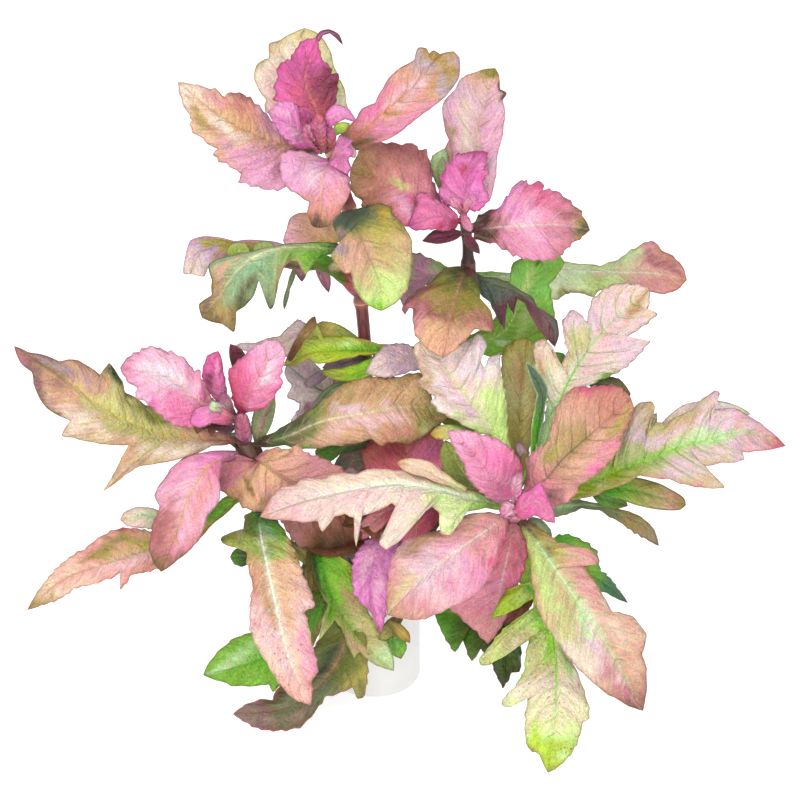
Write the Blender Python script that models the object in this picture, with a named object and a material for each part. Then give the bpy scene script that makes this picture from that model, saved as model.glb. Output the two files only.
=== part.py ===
# A potted hygrophila: five leafy stems growing from one small white cup.
#
# Each stem is a tube along a smooth route out of the cup. Each leaf is a thin plate that
# grows from a stem, follows its own midrib and is laid out as the eye sees it: its edge
# is read in view coordinates, and its depth comes from the midrib and from the way that
# the blade faces. Lengths are millimetres until a mesh is made.

import math

import bpy
import numpy as np
from mathutils import Vector
from mathutils.geometry import delaunay_2d_cdt

MM = 0.001

# The eye that the leaves are laid out for: it looks along +Y and down at the plant.
VIEW_DOWN = math.radians(25)
VIEW_DISTANCE = 1100.0
VIEW_TARGET = np.array((11.6, 0.0, 136.0))
VIEW_MIDDLE = 400.0
VIEW_FOCAL = 2600.0

# The cup
CUP_RADIUS = 20.5
CUP_HEIGHT = 55.0
CUP_WALL = 2.0
CUP_FLOOR = 4.0
CUP_FOOT_ROUND = 5.0
CUP_RIM_ROUND = 0.9
CUP_RIM_FLAT = 0.7
CUP_ROUND_STEPS = 4
CUP_SIDES = 40

# The growing medium in the cup
GAP = 0.3
MEDIUM_RADIUS = CUP_RADIUS - CUP_WALL - GAP
MEDIUM_BOTTOM = CUP_FLOOR + GAP
MEDIUM_TOP = 49.0
MEDIUM_EDGE_DROP = 1.0
MEDIUM_LUMP = 1.1
MEDIUM_LUMP_TURNS = (0.9, 0.8)
MEDIUM_SIDES = 20
STEM_DEPTH = 14.0

# The stems
STEM_RADIUS = 2.7
STEM_TIP_RADIUS = 1.3
STEM_TAPER = 0.2
STEM_NECK = 2.0
STEM_SIDES = 8
STEM_RINGS = 13
SOCKET_RINGS = 4

# The leaves
LEAF_THICKNESS = 0.7
LEAF_ROOT_HALF_WIDTH = 1.1
LEAF_ROOT_GAP = 0.8
LEAF_LEAN = 0.55
EDGE_DETAIL = 2.6
MIDRIB_DETAIL = 9
MIDRIB_STEPS = 81
ROOT_SHARE = 0.15

# Stem routes: places in the view, each with its distance in front of the cup's axis.
STEMS = {
    "a": ((367, 450, -13), (365, 345, -14), (361, 300, -13), (353, 235, -10), (347, 200, -7),
          (331, 155, -2), (324, 136, -1)),
    "b": ((430, 440, -15), (455, 340, -18), (468, 270, -20), (467, 240, -20), (463, 214, -20)),
    "c": ((325, 540, 10), (285, 505, 14), (256, 465, 17), (243, 440, 18), (237, 416, 18)),
    "d": ((430, 560, 14), (475, 548, 24), (506, 530, 33), (517, 508, 35), (518, 488, 33)),
    "e": ((393, 550, 14), (402, 515, 18), (404, 496, 18)),
}

# Where each stem stands in the growing medium, from the cup's axis.
STEM_FEET = {
    "a": (-5.0, 8.0),
    "b": (6.0, 9.5),
    "c": (-10.0, -3.0),
    "d": (10.0, -4.0),
    "e": (0.5, -9.0),
}

# Every leaf: its stem, the view row where it leaves the stem, its midrib with distances
# in front of the axis, and the points of its left and right edge from root to tip.
LEAVES = {
    "leaf_a_left": dict(
        stem="a", row=150, tint="pink", lean=0.2,
        midrib=((280, 144, 3), (225, 118, 7), (178, 82, 8)),
        left=((285, 168), (290, 186), (272, 190), (257, 187), (239, 181), (242, 173), (228, 165),
              (213, 155), (218, 150), (200, 137), (188, 125), (193, 120), (182, 103)),
        right=((283, 137), (262, 110), (245, 95), (230, 92), (225, 97), (215, 90), (200, 86))),
    "leaf_a_front": dict(
        stem="a", row=156, tint="pink", lean=-0.3,
        midrib=((323, 172, 10), (321, 205, 15), (319, 228, 17)),
        left=((340, 134), (353, 141), (348, 147), (355, 153), (348, 158), (351, 168), (348, 175),
              (351, 190), (345, 203), (340, 212), (328, 226)),
        right=((300, 151), (281, 153), (280, 175), (287, 186), (300, 196), (309, 202), (308, 215),
               (312, 226))),
    "leaf_a_back": dict(
        stem="a", row=140, tint="pale",
        midrib=((310, 110, -12), (300, 70, -22), (305, 28, -31)),
        left=((265, 112), (266, 100), (258, 88), (254, 79), (256, 65), (269, 58), (269, 44),
              (280, 40), (292, 33)),
        right=((347, 115), (346, 98), (342, 82), (338, 78), (334, 65), (326, 42), (315, 32))),
    "leaf_a_up": dict(
        stem="a", row=138, tint="magenta",
        midrib=((318, 115, -2), (305, 80, -8), (317, 38, -15)),
        left=((288, 105), (273, 100), (276, 92), (273, 85), (278, 80), (277, 68), (283, 62),
              (290, 60), (299, 45), (304, 40)),
        right=((335, 103), (337, 88), (339, 73), (332, 75), (330, 66), (322, 60), (319, 48))),
    "leaf_a_young": dict(
        stem="a", row=144, tint="magenta", lean=-0.1,
        midrib=((300, 130, 10), (268, 112, 14)),
        left=((310, 150), (298, 150), (288, 140), (281, 135), (273, 122)),
        right=((318, 118), (300, 108), (290, 101), (280, 102))),
    "leaf_a_right": dict(
        stem="a", row=149, tint="pink", lean=0.3,
        midrib=((352, 139, -4), (385, 112, -8), (420, 80, -13), (440, 54, -16)),
        left=((357, 118), (362, 108), (375, 103), (383, 88), (388, 78), (404, 66), (414, 60),
              (418, 48), (427, 48), (429, 54), (433, 50)),
        right=((360, 150), (372, 144), (395, 136), (408, 125), (425, 112), (447, 95), (460, 75),
               (459, 58), (454, 51))),
    "leaf_a_lower_front": dict(
        stem="a", row=207, tint="olive",
        midrib=((356, 225, 6), (368, 255, 12), (380, 285, 16), (381, 311, 17)),
        left=((365, 208), (380, 203), (391, 208), (392, 215), (400, 222), (408, 232), (412, 243),
              (411, 270), (407, 290), (396, 303)),
        right=((340, 212), (332, 222), (340, 240), (337, 250), (330, 255), (345, 274), (351, 272),
               (356, 292), (368, 305))),
    "leaf_a_lower_left": dict(
        stem="a", row=246, tint="green",
        midrib=((335, 249, -4), (300, 247, -2), (262, 253, 2), (240, 268, 5), (220, 295, 7),
                (202, 318, 8)),
        left=((320, 256), (313, 262), (305, 276), (298, 262), (290, 262), (276, 288), (270, 309),
              (268, 300), (270, 280), (264, 276), (258, 280), (253, 297), (236, 312), (234, 332),
              (222, 324)),
        right=((300, 243), (275, 246), (250, 252), (215, 260), (208, 265), (212, 280), (212, 295),
               (199, 304))),
    "leaf_a_lower_back": dict(
        stem="a", row=232, tint="pink", lean=0.3,
        midrib=((333, 241, -18), (310, 236, -25), (283, 241, -28)),
        left=((320, 250), (300, 250), (287, 247)),
        right=((329, 222), (320, 214), (298, 213), (290, 218), (287, 228))),
    "leaf_a_arched": dict(
        stem="a", row=301, tint="lilac",
        midrib=((348, 298, -7), (342, 281, -6), (335, 267, -10), (315, 262, -13), (260, 250, -16),
                (215, 246, -16), (198, 256, -15)),
        left=((343, 296), (337, 281), (331, 276), (329, 293), (320, 271), (303, 280), (297, 276),
              (283, 309), (290, 272), (250, 272), (215, 268), (206, 282), (205, 272), (184, 275)),
        right=((348, 282), (343, 266), (330, 257), (290, 246), (262, 238), (235, 241), (203, 236),
               (190, 246))),
    "leaf_b_left": dict(
        stem="b", row=224, tint="salmon",
        midrib=((425, 205, -19), (400, 185, -21), (350, 172, -24)),
        left=((438, 222), (407, 227), (393, 215), (391, 207), (378, 204), (363, 207), (362, 200),
              (352, 193)),
        right=((441, 200), (433, 182), (429, 160), (425, 149), (418, 150), (414, 143), (402, 145),
               (388, 143), (376, 142), (360, 150))),
    "leaf_b_back": dict(
        stem="b", row=212, tint="pale",
        midrib=((474, 180, -26), (478, 130, -34), (485, 98, -40), (495, 68, -44)),
        left=((455, 175), (443, 160), (444, 150), (449, 140), (443, 120), (443, 102), (455, 90),
              (460, 79), (475, 72)),
        right=((490, 200), (495, 180), (497, 155), (504, 125), (505, 110), (503, 100), (507, 93),
               (500, 90), (499, 75))),
    "leaf_b_up": dict(
        stem="b", row=214, tint="magenta",
        midrib=((466, 195, -20), (470, 170, -24), (475, 151, -27)),
        left=((445, 205), (438, 193), (442, 185), (439, 177), (446, 170), (444, 166), (450, 163),
              (452, 155), (462, 154)),
        right=((478, 212), (490, 198), (485, 190), (483, 180), (490, 170), (484, 170), (488, 152))),
    "leaf_b_young": dict(
        stem="b", row=221, tint="magenta",
        midrib=((440, 215, -12), (408, 226, -8)),
        left=((455, 230), (430, 229), (415, 231)),
        right=((458, 215), (441, 203), (430, 198), (425, 193), (416, 194), (418, 203))),
    "leaf_b_right": dict(
        stem="b", row=232, tint="pink",
        midrib=((490, 228, -18), (520, 226, -16), (560, 225, -14), (590, 230, -12)),
        left=((480, 215), (498, 210), (504, 205), (506, 195), (510, 201), (513, 185), (527, 179),
              (524, 188), (541, 180), (543, 190), (557, 191), (568, 200), (581, 213)),
        right=((480, 241), (495, 243), (510, 253), (525, 259), (553, 260), (563, 254), (567, 247),
               (577, 240))),
    "leaf_b_lower_front": dict(
        stem="b", row=263, tint="olive", lean=0.3,
        midrib=((461, 280, -8), (450, 320, 10), (443, 358, 24)),
        left=((475, 270), (478, 280), (480, 300), (490, 310), (494, 322), (492, 332), (475, 328),
              (460, 345)),
        right=((445, 268), (430, 283), (408, 298), (403, 306), (413, 308), (415, 335), (428, 350))),
    "leaf_b_lower_right": dict(
        stem="b", row=272, tint="teal",
        midrib=((490, 284, -14), (515, 292, -10), (535, 308, -6), (550, 325, -4), (555, 347, 0)),
        left=((484, 277), (500, 279), (520, 290), (533, 298), (537, 307), (557, 320), (559, 335)),
        right=((482, 296), (490, 302), (505, 330), (500, 300), (508, 302), (514, 315), (514, 296),
               (525, 303), (532, 318), (549, 341))),
    "leaf_b_lower_left": dict(
        stem="b", row=268, tint="green",
        midrib=((440, 275, -24), (405, 262, -25)),
        left=((446, 281), (430, 284), (412, 288), (405, 316), (400, 290)),
        right=((450, 269), (430, 258), (412, 252))),
    "leaf_b_low_green": dict(
        stem="b", row=345, tint="leafgreen", lean=0.1,
        midrib=((500, 335, -24), (522, 300, -27), (538, 260, -29)),
        left=((488, 328), (500, 312), (502, 295), (510, 280), (513, 262), (525, 258)),
        right=((490, 357), (510, 353), (530, 345), (545, 345), (555, 320), (552, 300), (549, 285),
               (565, 262), (558, 254))),
    "leaf_b_low_right": dict(
        stem="b", row=275, tint="green",
        midrib=((495, 277, -36), (545, 271, -45), (620, 272, -49), (660, 274, -51),
                (687, 280, -51)),
        left=((510, 273), (545, 262), (580, 264), (600, 266), (618, 260), (635, 248), (652, 240),
              (662, 250), (680, 262)),
        right=((500, 281), (540, 284), (548, 299), (560, 299), (566, 293), (580, 292), (593, 297),
               (600, 290), (620, 285), (650, 292), (672, 293))),
    "leaf_c_left": dict(
        stem="c", row=441, tint="olive",
        midrib=((200, 438, 22), (150, 430, 24), (110, 412, 26), (60, 375, 26), (14, 346, 24)),
        left=((212, 446), (190, 455), (165, 462), (140, 465), (125, 475), (103, 491), (112, 478),
              (120, 462), (129, 445), (105, 444), (75, 438), (61, 436), (70, 421), (47, 408),
              (40, 400), (32, 372), (20, 362)),
        right=((214, 431), (165, 412), (145, 405), (125, 392), (120, 378), (109, 363), (100, 375),
               (78, 360), (60, 361), (28, 352))),
    "leaf_c_young_left": dict(
        stem="c", row=424, tint="pink",
        midrib=((205, 405, 24), (165, 375, 26), (120, 368, 26)),
        left=((224, 423), (200, 426), (175, 426), (160, 415), (148, 403), (138, 398), (134, 392),
              (140, 388), (128, 382)),
        right=((212, 398), (203, 380), (198, 368), (195, 372), (184, 358), (165, 350), (150, 346),
               (142, 350), (128, 357))),
    "leaf_c_young_up": dict(
        stem="c", row=420, tint="magenta",
        midrib=((222, 395, 18), (215, 370, 15), (218, 351, 14)),
        left=((213, 398), (208, 390), (202, 378), (203, 367), (208, 355)),
        right=((228, 400), (226, 385), (223, 370), (221, 356))),
    "leaf_c_young_right": dict(
        stem="c", row=418, tint="pink",
        midrib=((242, 405, 22), (262, 372, 20), (278, 340, 16)),
        left=((234, 405), (230, 385), (227, 374), (235, 363), (245, 355), (255, 346), (265, 340)),
        right=((250, 412), (265, 408), (280, 388), (284, 383), (280, 377), (286, 352))),
    "leaf_c_right": dict(
        stem="c", row=446, tint="olive", lean=0.3,
        midrib=((285, 437, 19), (320, 422, 18), (360, 414, 16), (425, 408, 12), (449, 416, 12)),
        left=((275, 432), (295, 420), (315, 407), (330, 395), (345, 384), (365, 378), (400, 377),
              (420, 372), (433, 400)),
        right=((285, 445), (300, 449), (330, 446), (372, 439), (383, 447), (388, 441), (410, 443),
               (435, 427))),
    "leaf_c_front_left": dict(
        stem="c", row=450, tint="pink",
        midrib=((210, 465, 32), (190, 495, 38), (175, 535, 42), (161, 572, 44)),
        left=((222, 462), (219, 480), (220, 500), (207, 515), (204, 528), (195, 545), (180, 558)),
        right=((205, 452), (183, 457), (163, 480), (154, 495), (160, 506), (149, 545),
               (152, 560))),
    "leaf_c_front_right": dict(
        stem="c", row=456, tint="salmon", lean=-0.3,
        midrib=((262, 465, 25), (300, 490, 24), (340, 512, 21), (372, 530, 18)),
        left=((266, 450), (277, 447), (292, 452), (297, 443), (305, 452), (345, 470), (374, 500)),
        right=((235, 455), (208, 461), (218, 478), (220, 490), (236, 500), (245, 509), (262, 512),
               (281, 520), (297, 545), (305, 548), (365, 540))),
    "leaf_c_low_left": dict(
        stem="c", row=478, tint="peach",
        midrib=((235, 500, 22), (205, 530, 28), (165, 545, 32), (110, 562, 36), (65, 578, 38),
                (27, 610, 40)),
        left=((238, 508), (215, 527), (192, 548), (160, 568), (132, 574), (120, 590), (121, 573),
              (105, 580), (75, 588), (60, 599), (42, 605)),
        right=((230, 494), (207, 512), (175, 528), (150, 531), (120, 528), (100, 537), (85, 549),
               (70, 557), (52, 573))),
    "leaf_mid_green": dict(
        stem="b", row=356, tint="leafgreen",
        midrib=((415, 353, -15), (381, 350, -8), (340, 350, -1), (310, 353, 3), (284, 366, 4)),
        left=((382, 356), (370, 368), (355, 379), (335, 379), (319, 371), (342, 365), (362, 356),
              (340, 358), (318, 362), (312, 357), (298, 364)),
        right=((379, 344), (345, 336), (320, 337), (310, 336), (318, 330), (313, 316), (305, 325),
               (295, 343), (288, 355))),
    "leaf_mid_oval": dict(
        stem="b", row=362, tint="lilac",
        midrib=((415, 357, -6), (390, 362, 2), (365, 373, 5)),
        left=((410, 371), (395, 376), (380, 377)),
        right=((414, 350), (408, 344), (385, 345), (378, 352))),
    "leaf_mid_lilac": dict(
        stem="a", row=400, tint="lilac",
        midrib=((345, 398, -14), (320, 390, -16), (300, 375, -18), (287, 364, -18)),
        left=((335, 410), (318, 412), (296, 440), (300, 402), (287, 398), (292, 385), (284, 374)),
        right=((350, 385), (345, 375), (330, 380), (335, 362), (322, 372), (308, 355),
               (296, 358))),
    "leaf_hanging_pink": dict(
        stem="c", row=500, tint="peach",
        midrib=((262, 514, 19), (261, 535, 31), (266, 560, 44), (276, 605, 56), (290, 660, 68),
                (311, 705, 78)),
        left=((276, 519), (292, 545), (303, 575), (315, 605), (304, 612), (312, 645), (318, 672),
              (312, 680)),
        right=((245, 515), (243, 532), (236, 538), (220, 537), (229, 546), (245, 549), (253, 585),
               (250, 630), (268, 665), (292, 698))),
    "leaf_hanging_green": dict(
        stem="c", row=542, tint="leafgreen",
        midrib=((321, 557, 22), (330, 590, 30), (345, 620, 36), (365, 645, 42), (394, 671, 50)),
        left=((336, 552), (352, 566), (356, 592), (370, 615), (393, 655)),
        right=((311, 552), (313, 572), (328, 605), (319, 640), (334, 620), (342, 628), (354, 658),
               (360, 652), (372, 663))),
    "leaf_hanging_olive": dict(
        stem="c", row=566, tint="darkgreen",
        midrib=((350, 583, 21), (350, 625, 36), (335, 665, 46), (290, 705, 58), (233, 714, 62)),
        left=((364, 610), (366, 645), (368, 662), (364, 698), (357, 698), (354, 687), (325, 697),
              (300, 728), (262, 730), (245, 722)),
        right=((335, 610), (322, 635), (305, 665), (276, 690), (273, 700), (258, 700),
               (240, 708))),
    "leaf_hanging_pale": dict(
        stem="c", row=560, tint="leafgreen",
        midrib=((328, 590, 22), (300, 635, 32), (255, 660, 40), (203, 675, 44)),
        left=((325, 615), (305, 660), (272, 692), (269, 684), (235, 686), (220, 681)),
        right=((315, 590), (290, 615), (250, 633), (235, 638), (212, 658))),
    "leaf_d_young": dict(
        stem="d", row=500, tint="pink", lean=0.0,
        midrib=((495, 480, 45), (470, 450, 44), (447, 431, 42)),
        left=((500, 503), (489, 499), (466, 475), (465, 465), (458, 455)),
        right=((521, 484), (522, 465), (512, 450), (500, 440), (480, 434), (465, 430))),
    "leaf_d_up_right": dict(
        stem="d", row=494, tint="salmon",
        midrib=((545, 480, 38), (562, 460, 38), (590, 435, 36), (631, 398, 30)),
        left=((528, 472), (525, 460), (550, 440), (553, 420), (562, 397), (575, 387), (590, 387),
              (618, 386)),
        right=((548, 508), (570, 500), (580, 485), (600, 470), (621, 447), (620, 438),
               (634, 410))),
    "leaf_d_right": dict(
        stem="d", row=500, tint="pale",
        midrib=((560, 492, 32), (600, 478, 31), (640, 462, 30), (700, 442, 26), (750, 432, 22),
                (786, 446, 20)),
        left=((580, 477), (605, 462), (618, 445), (625, 422), (637, 404), (652, 401), (655, 407),
              (641, 437), (655, 422), (665, 424), (690, 411), (715, 390), (720, 393), (711, 410),
              (735, 408), (755, 420)),
        right=((565, 500), (598, 500), (610, 507), (627, 508), (622, 498), (603, 490),
               (620, 490), (650, 508), (680, 508), (686, 503), (640, 476), (680, 481), (705, 488),
               (725, 487), (702, 466), (745, 460), (742, 452))),
    "leaf_d_back_left": dict(
        stem="d", row=493, tint="pale",
        midrib=((502, 440, 25), (475, 405, 21), (450, 375, 16), (430, 340, 10)),
        left=((490, 436), (455, 420), (440, 412), (431, 402), (435, 397), (417, 382), (423, 378),
              (413, 345)),
        right=((512, 447), (508, 430), (500, 370), (499, 353), (492, 356), (484, 368), (480, 362),
               (487, 342), (480, 334), (460, 345))),
    "leaf_d_back_brown": dict(
        stem="d", row=490, tint="olive",
        midrib=((520, 440, 14), (521, 400, 5), (528, 338, -8)),
        left=((510, 440), (504, 410), (502, 380), (503, 350), (515, 340)),
        right=((530, 445), (537, 420), (537, 390), (536, 345))),
    "leaf_d_back_right": dict(
        stem="d", row=489, tint="pale",
        midrib=((545, 445, 22), (560, 400, 13), (575, 370, 6), (600, 335, 0), (650, 288, -8)),
        left=((535, 450), (545, 420), (548, 400), (536, 370), (534, 342), (545, 338), (560, 366),
              (568, 352), (562, 320), (574, 309), (587, 322), (592, 300), (612, 284), (635, 284)),
        right=((545, 455), (553, 430), (560, 405), (575, 390), (600, 380), (625, 368), (650, 341),
               (640, 340), (612, 352), (630, 335), (658, 313), (648, 310))),
    "leaf_d_finger": dict(
        stem="d", row=510, tint="peach",
        midrib=((470, 498, 42), (440, 490, 44), (400, 484, 46), (340, 492, 44), (300, 502, 40),
                (260, 517, 36)),
        left=((485, 508), (462, 512), (455, 520), (452, 533), (440, 533), (439, 512), (432, 506),
              (420, 515), (400, 540), (381, 549), (380, 540), (398, 508), (392, 503), (360, 525),
              (356, 547), (355, 515), (345, 513), (322, 532), (319, 521), (285, 520)),
        right=((485, 496), (450, 482), (440, 470), (425, 462), (400, 461), (398, 468), (375, 472),
               (330, 475), (300, 480), (275, 493))),
    "leaf_d_front_left": dict(
        stem="d", row=508, tint="pink",
        midrib=((490, 528, 46), (455, 552, 54), (415, 585, 60), (387, 615, 62)),
        left=((508, 522), (502, 545), (490, 575), (480, 590), (445, 610), (420, 620)),
        right=((498, 514), (475, 513), (458, 518), (455, 529), (405, 540), (391, 560))),
    "leaf_d_front": dict(
        stem="d", row=512, tint="pink",
        midrib=((535, 540, 48), (570, 590, 62), (610, 650, 76), (643, 711, 84)),
        left=((541, 530), (560, 545), (590, 548), (600, 564), (582, 562), (602, 595), (612, 612),
              (632, 616), (647, 635), (642, 653), (647, 675)),
        right=((526, 540), (530, 560), (540, 615), (560, 645), (590, 680), (620, 701))),
    "leaf_d_front_low": dict(
        stem="d", row=522, tint="leafgreen",
        midrib=((531, 553, 41), (541, 590, 46), (550, 625, 56), (556, 680, 70), (554, 730, 83),
                (548, 773, 92)),
        left=((535, 550), (547, 582), (553, 610), (565, 650), (582, 685), (590, 718), (583, 722),
              (575, 748), (562, 764)),
        right=((519, 566), (519, 582), (530, 588), (506, 590), (491, 620), (533, 598),
               (534, 610), (505, 628), (480, 663), (490, 666), (530, 637), (515, 680), (503, 708),
               (531, 690), (525, 720), (527, 747), (540, 755))),
    "leaf_d_grey": dict(
        stem="d", row=506, tint="teal",
        midrib=((555, 508, 28), (590, 505, 24), (620, 514, 22), (645, 525, 22), (659, 546, 24)),
        left=((560, 498), (590, 502), (615, 508), (640, 516), (654, 529)),
        right=((556, 517), (582, 508), (600, 510), (620, 522), (646, 539))),
    "leaf_d_dark": dict(
        stem="d", row=532, tint="darkgreen",
        midrib=((545, 548, 33), (590, 575, 35), (628, 603, 35)),
        left=((553, 538), (565, 534), (575, 537), (590, 545), (597, 552), (600, 570), (612, 580),
              (618, 589)),
        right=((550, 570), (570, 585), (590, 590), (605, 592))),
    "leaf_e_back": dict(
        stem="e", row=497, tint="crimson",
        midrib=((408, 475, 12), (402, 432, 3)),
        left=((385, 490), (366, 470), (361, 452), (372, 440), (388, 433)),
        right=((432, 490), (445, 470), (453, 457), (445, 447), (440, 430), (420, 428))),
    "leaf_e_left": dict(
        stem="e", row=516, tint="magenta",
        midrib=((385, 545, 30), (372, 580, 40), (381, 634, 52)),
        left=((398, 545), (391, 565), (388, 595), (384, 622)),
        right=((362, 545), (354, 557), (352, 572), (354, 595), (371, 612))),
    "leaf_e_right": dict(
        stem="d", row=514, tint="pink",
        midrib=((511, 540, 42), (502, 580, 44), (488, 644, 47)),
        left=((522, 533), (526, 545), (524, 560), (512, 578), (502, 625)),
        right=((490, 560), (470, 585), (445, 602), (458, 615), (475, 630))),
    "leaf_e_low": dict(
        stem="e", row=510, tint="crimson",
        midrib=((380, 518, 27), (342, 526, 32)),
        left=((385, 528), (376, 540), (362, 529)),
        right=((383, 508), (365, 505), (350, 510))),
    "leaf_e_dark": dict(
        stem="d", row=545, tint="darkgreen",
        midrib=((500, 618, 28), (470, 614, 28), (434, 613, 28)),
        left=((520, 640), (520, 672), (512, 672), (503, 688), (490, 657), (480, 648), (472, 662),
              (463, 638), (455, 653)),
        right=((500, 600), (470, 600), (445, 605))),
}

# Rough colours of the leaves: red, green, blue
TINTS = {
    "pink": (0.72, 0.33, 0.45),
    "magenta": (0.76, 0.16, 0.45),
    "crimson": (0.62, 0.12, 0.24),
    "salmon": (0.62, 0.30, 0.24),
    "peach": (0.82, 0.55, 0.48),
    "pale": (0.70, 0.66, 0.52),
    "olive": (0.40, 0.34, 0.16),
    "green": (0.25, 0.36, 0.14),
    "leafgreen": (0.24, 0.47, 0.06),
    "darkgreen": (0.12, 0.20, 0.07),
    "teal": (0.18, 0.22, 0.17),
    "lilac": (0.46, 0.33, 0.41),
}
STEM_COLOUR = (0.16, 0.04, 0.05)
CUP_COLOUR = (0.85, 0.85, 0.83)
MEDIUM_COLOUR = (0.01, 0.009, 0.008)
LEAF_ROUGHNESS = 0.55
STEM_ROUGHNESS = 0.5
CUP_ROUGHNESS = 0.25
MEDIUM_ROUGHNESS = 0.9

LOOK = np.array((0.0, math.cos(VIEW_DOWN), -math.sin(VIEW_DOWN)))
ACROSS = np.array((1.0, 0.0, 0.0))
RISE = np.array((0.0, math.sin(VIEW_DOWN), math.cos(VIEW_DOWN)))
UP = np.array((0.0, 0.0, 1.0))
EYE = VIEW_TARGET - VIEW_DISTANCE * LOOK


def unit(vectors):
    """The same vectors, each one unit long."""
    return vectors / np.linalg.norm(vectors, axis=-1, keepdims=True)


def sight_line(column, row):
    """The direction in which the eye sees a place in the view."""
    across = (column - VIEW_MIDDLE) / VIEW_FOCAL
    rise = (VIEW_MIDDLE - row) / VIEW_FOCAL
    return LOOK + across * ACROSS + rise * RISE


def sight(column, row, ahead):
    """The point seen at a place in the view, a distance in front of the cup's axis."""
    line = sight_line(column, row)
    reach = (-ahead - EYE[1]) / line[1]
    return EYE + reach * line


def seen(points):
    """Where points appear in the view, as columns and rows."""
    offset = np.asarray(points) - EYE
    depth = offset @ LOOK
    columns = VIEW_MIDDLE + VIEW_FOCAL * (offset @ ACROSS) / depth
    rows = VIEW_MIDDLE - VIEW_FOCAL * (offset @ RISE) / depth
    return np.stack((columns, rows), axis=-1)


def smooth_path(points, count):
    """A smooth curve through the points: cubic pieces whose slopes come from the neighbours."""
    points = np.asarray(points, dtype=float)
    chords = np.linalg.norm(np.diff(points, axis=0), axis=1)
    knots = np.concatenate(((0.0,), np.cumsum(chords)))
    slopes = np.gradient(points, knots, axis=0)
    along = np.linspace(0.0, knots[-1], count)
    piece = np.clip(np.searchsorted(knots, along, side="right") - 1, 0, len(chords) - 1)
    length = chords[piece][:, None]
    part = (along - knots[piece])[:, None] / length
    start = (2 * part**3 - 3 * part**2 + 1) * points[piece]
    start_slope = (part**3 - 2 * part**2 + part) * length * slopes[piece]
    end = (3 * part**2 - 2 * part**3) * points[piece + 1]
    end_slope = (part**3 - part**2) * length * slopes[piece + 1]
    return start + start_slope + end + end_slope


def stem_path(letter):
    """The stem's axis from its foot in the medium to its tip."""
    foot_x, foot_y = STEM_FEET[letter]
    foot = (foot_x, foot_y, MEDIUM_TOP - STEM_DEPTH)
    neck = (foot_x, foot_y, MEDIUM_TOP + STEM_NECK)
    places = [sight(*place) for place in STEMS[letter]]
    return smooth_path([foot, neck] + places, MIDRIB_STEPS)


def leaf_midrib(leaf):
    """The leaf's midrib, from just off its stem's side to the leaf's tip."""
    stem = stem_path(leaf["stem"])
    rows = seen(stem)[:, 1]
    node = stem[np.argmin(np.abs(rows - leaf["row"]))]
    places = [sight(*place) for place in leaf["midrib"]]
    outward = unit(places[0] - node)
    root = node + (STEM_RADIUS + LEAF_ROOT_GAP) * outward
    return smooth_path([root] + places, MIDRIB_STEPS)


def leaf_frames(midrib, lean):
    """At each point of the midrib, the way that the blade faces and the way to its left.

    The blade faces square to its midrib, except near the root, where it eases into facing
    the eye so that its broad base lies across the front of the stem.
    """
    along = unit(np.gradient(midrib, axis=0))
    facing = unit(lean * UP - LOOK)
    square = np.clip(np.linspace(0.0, 1.0, len(midrib)) / ROOT_SHARE, 0.0, 1.0)
    face = unit(facing - (square * (along @ facing))[:, None] * along)
    return face, unit(np.cross(face, along))


def edge_points(places, midrib, face):
    """Each place of the edge, put on the blade's plane at the nearest point of the midrib."""
    drawn = seen(midrib)
    points = []
    faces = []
    for column, row in places:
        nearest = np.argmin(np.hypot(drawn[:, 0] - column, drawn[:, 1] - row))
        line = sight_line(column, row)
        reach = (midrib[nearest] - EYE) @ face[nearest] / (line @ face[nearest])
        points.append(EYE + reach * line)
        faces.append(face[nearest])
    return points, faces


def thinned(places, detail):
    """The outline without the points that lie within the detail of a straight line."""
    places = [np.asarray(place, dtype=float) for place in places]
    if len(places) < 3:
        return places
    start = places[0]
    run = places[-1] - start
    length = max(np.hypot(*run), 1e-6)
    offsets = [abs(run[0] * (p[1] - start[1]) - run[1] * (p[0] - start[0])) / length for p in places]
    farthest = int(np.argmax(offsets))
    if offsets[farthest] < detail:
        return [places[0], places[-1]]
    before = thinned(places[:farthest + 1], detail)
    return before + thinned(places[farthest:], detail)[1:]


def link(name, vertices, faces, colour, roughness):
    """A mesh object at its place, with its own material."""
    mesh = bpy.data.meshes.new(name)
    mesh.from_pydata([Vector(vertex) * MM for vertex in vertices], [], faces)
    mesh.update()
    material = bpy.data.materials.new(name)
    material.use_nodes = True
    shader = material.node_tree.nodes["Principled BSDF"]
    shader.inputs["Base Color"].default_value = (*colour, 1.0)
    shader.inputs["Roughness"].default_value = roughness
    mesh.materials.append(material)
    piece = bpy.data.objects.new(name, mesh)
    bpy.context.scene.collection.objects.link(piece)
    return piece


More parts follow.
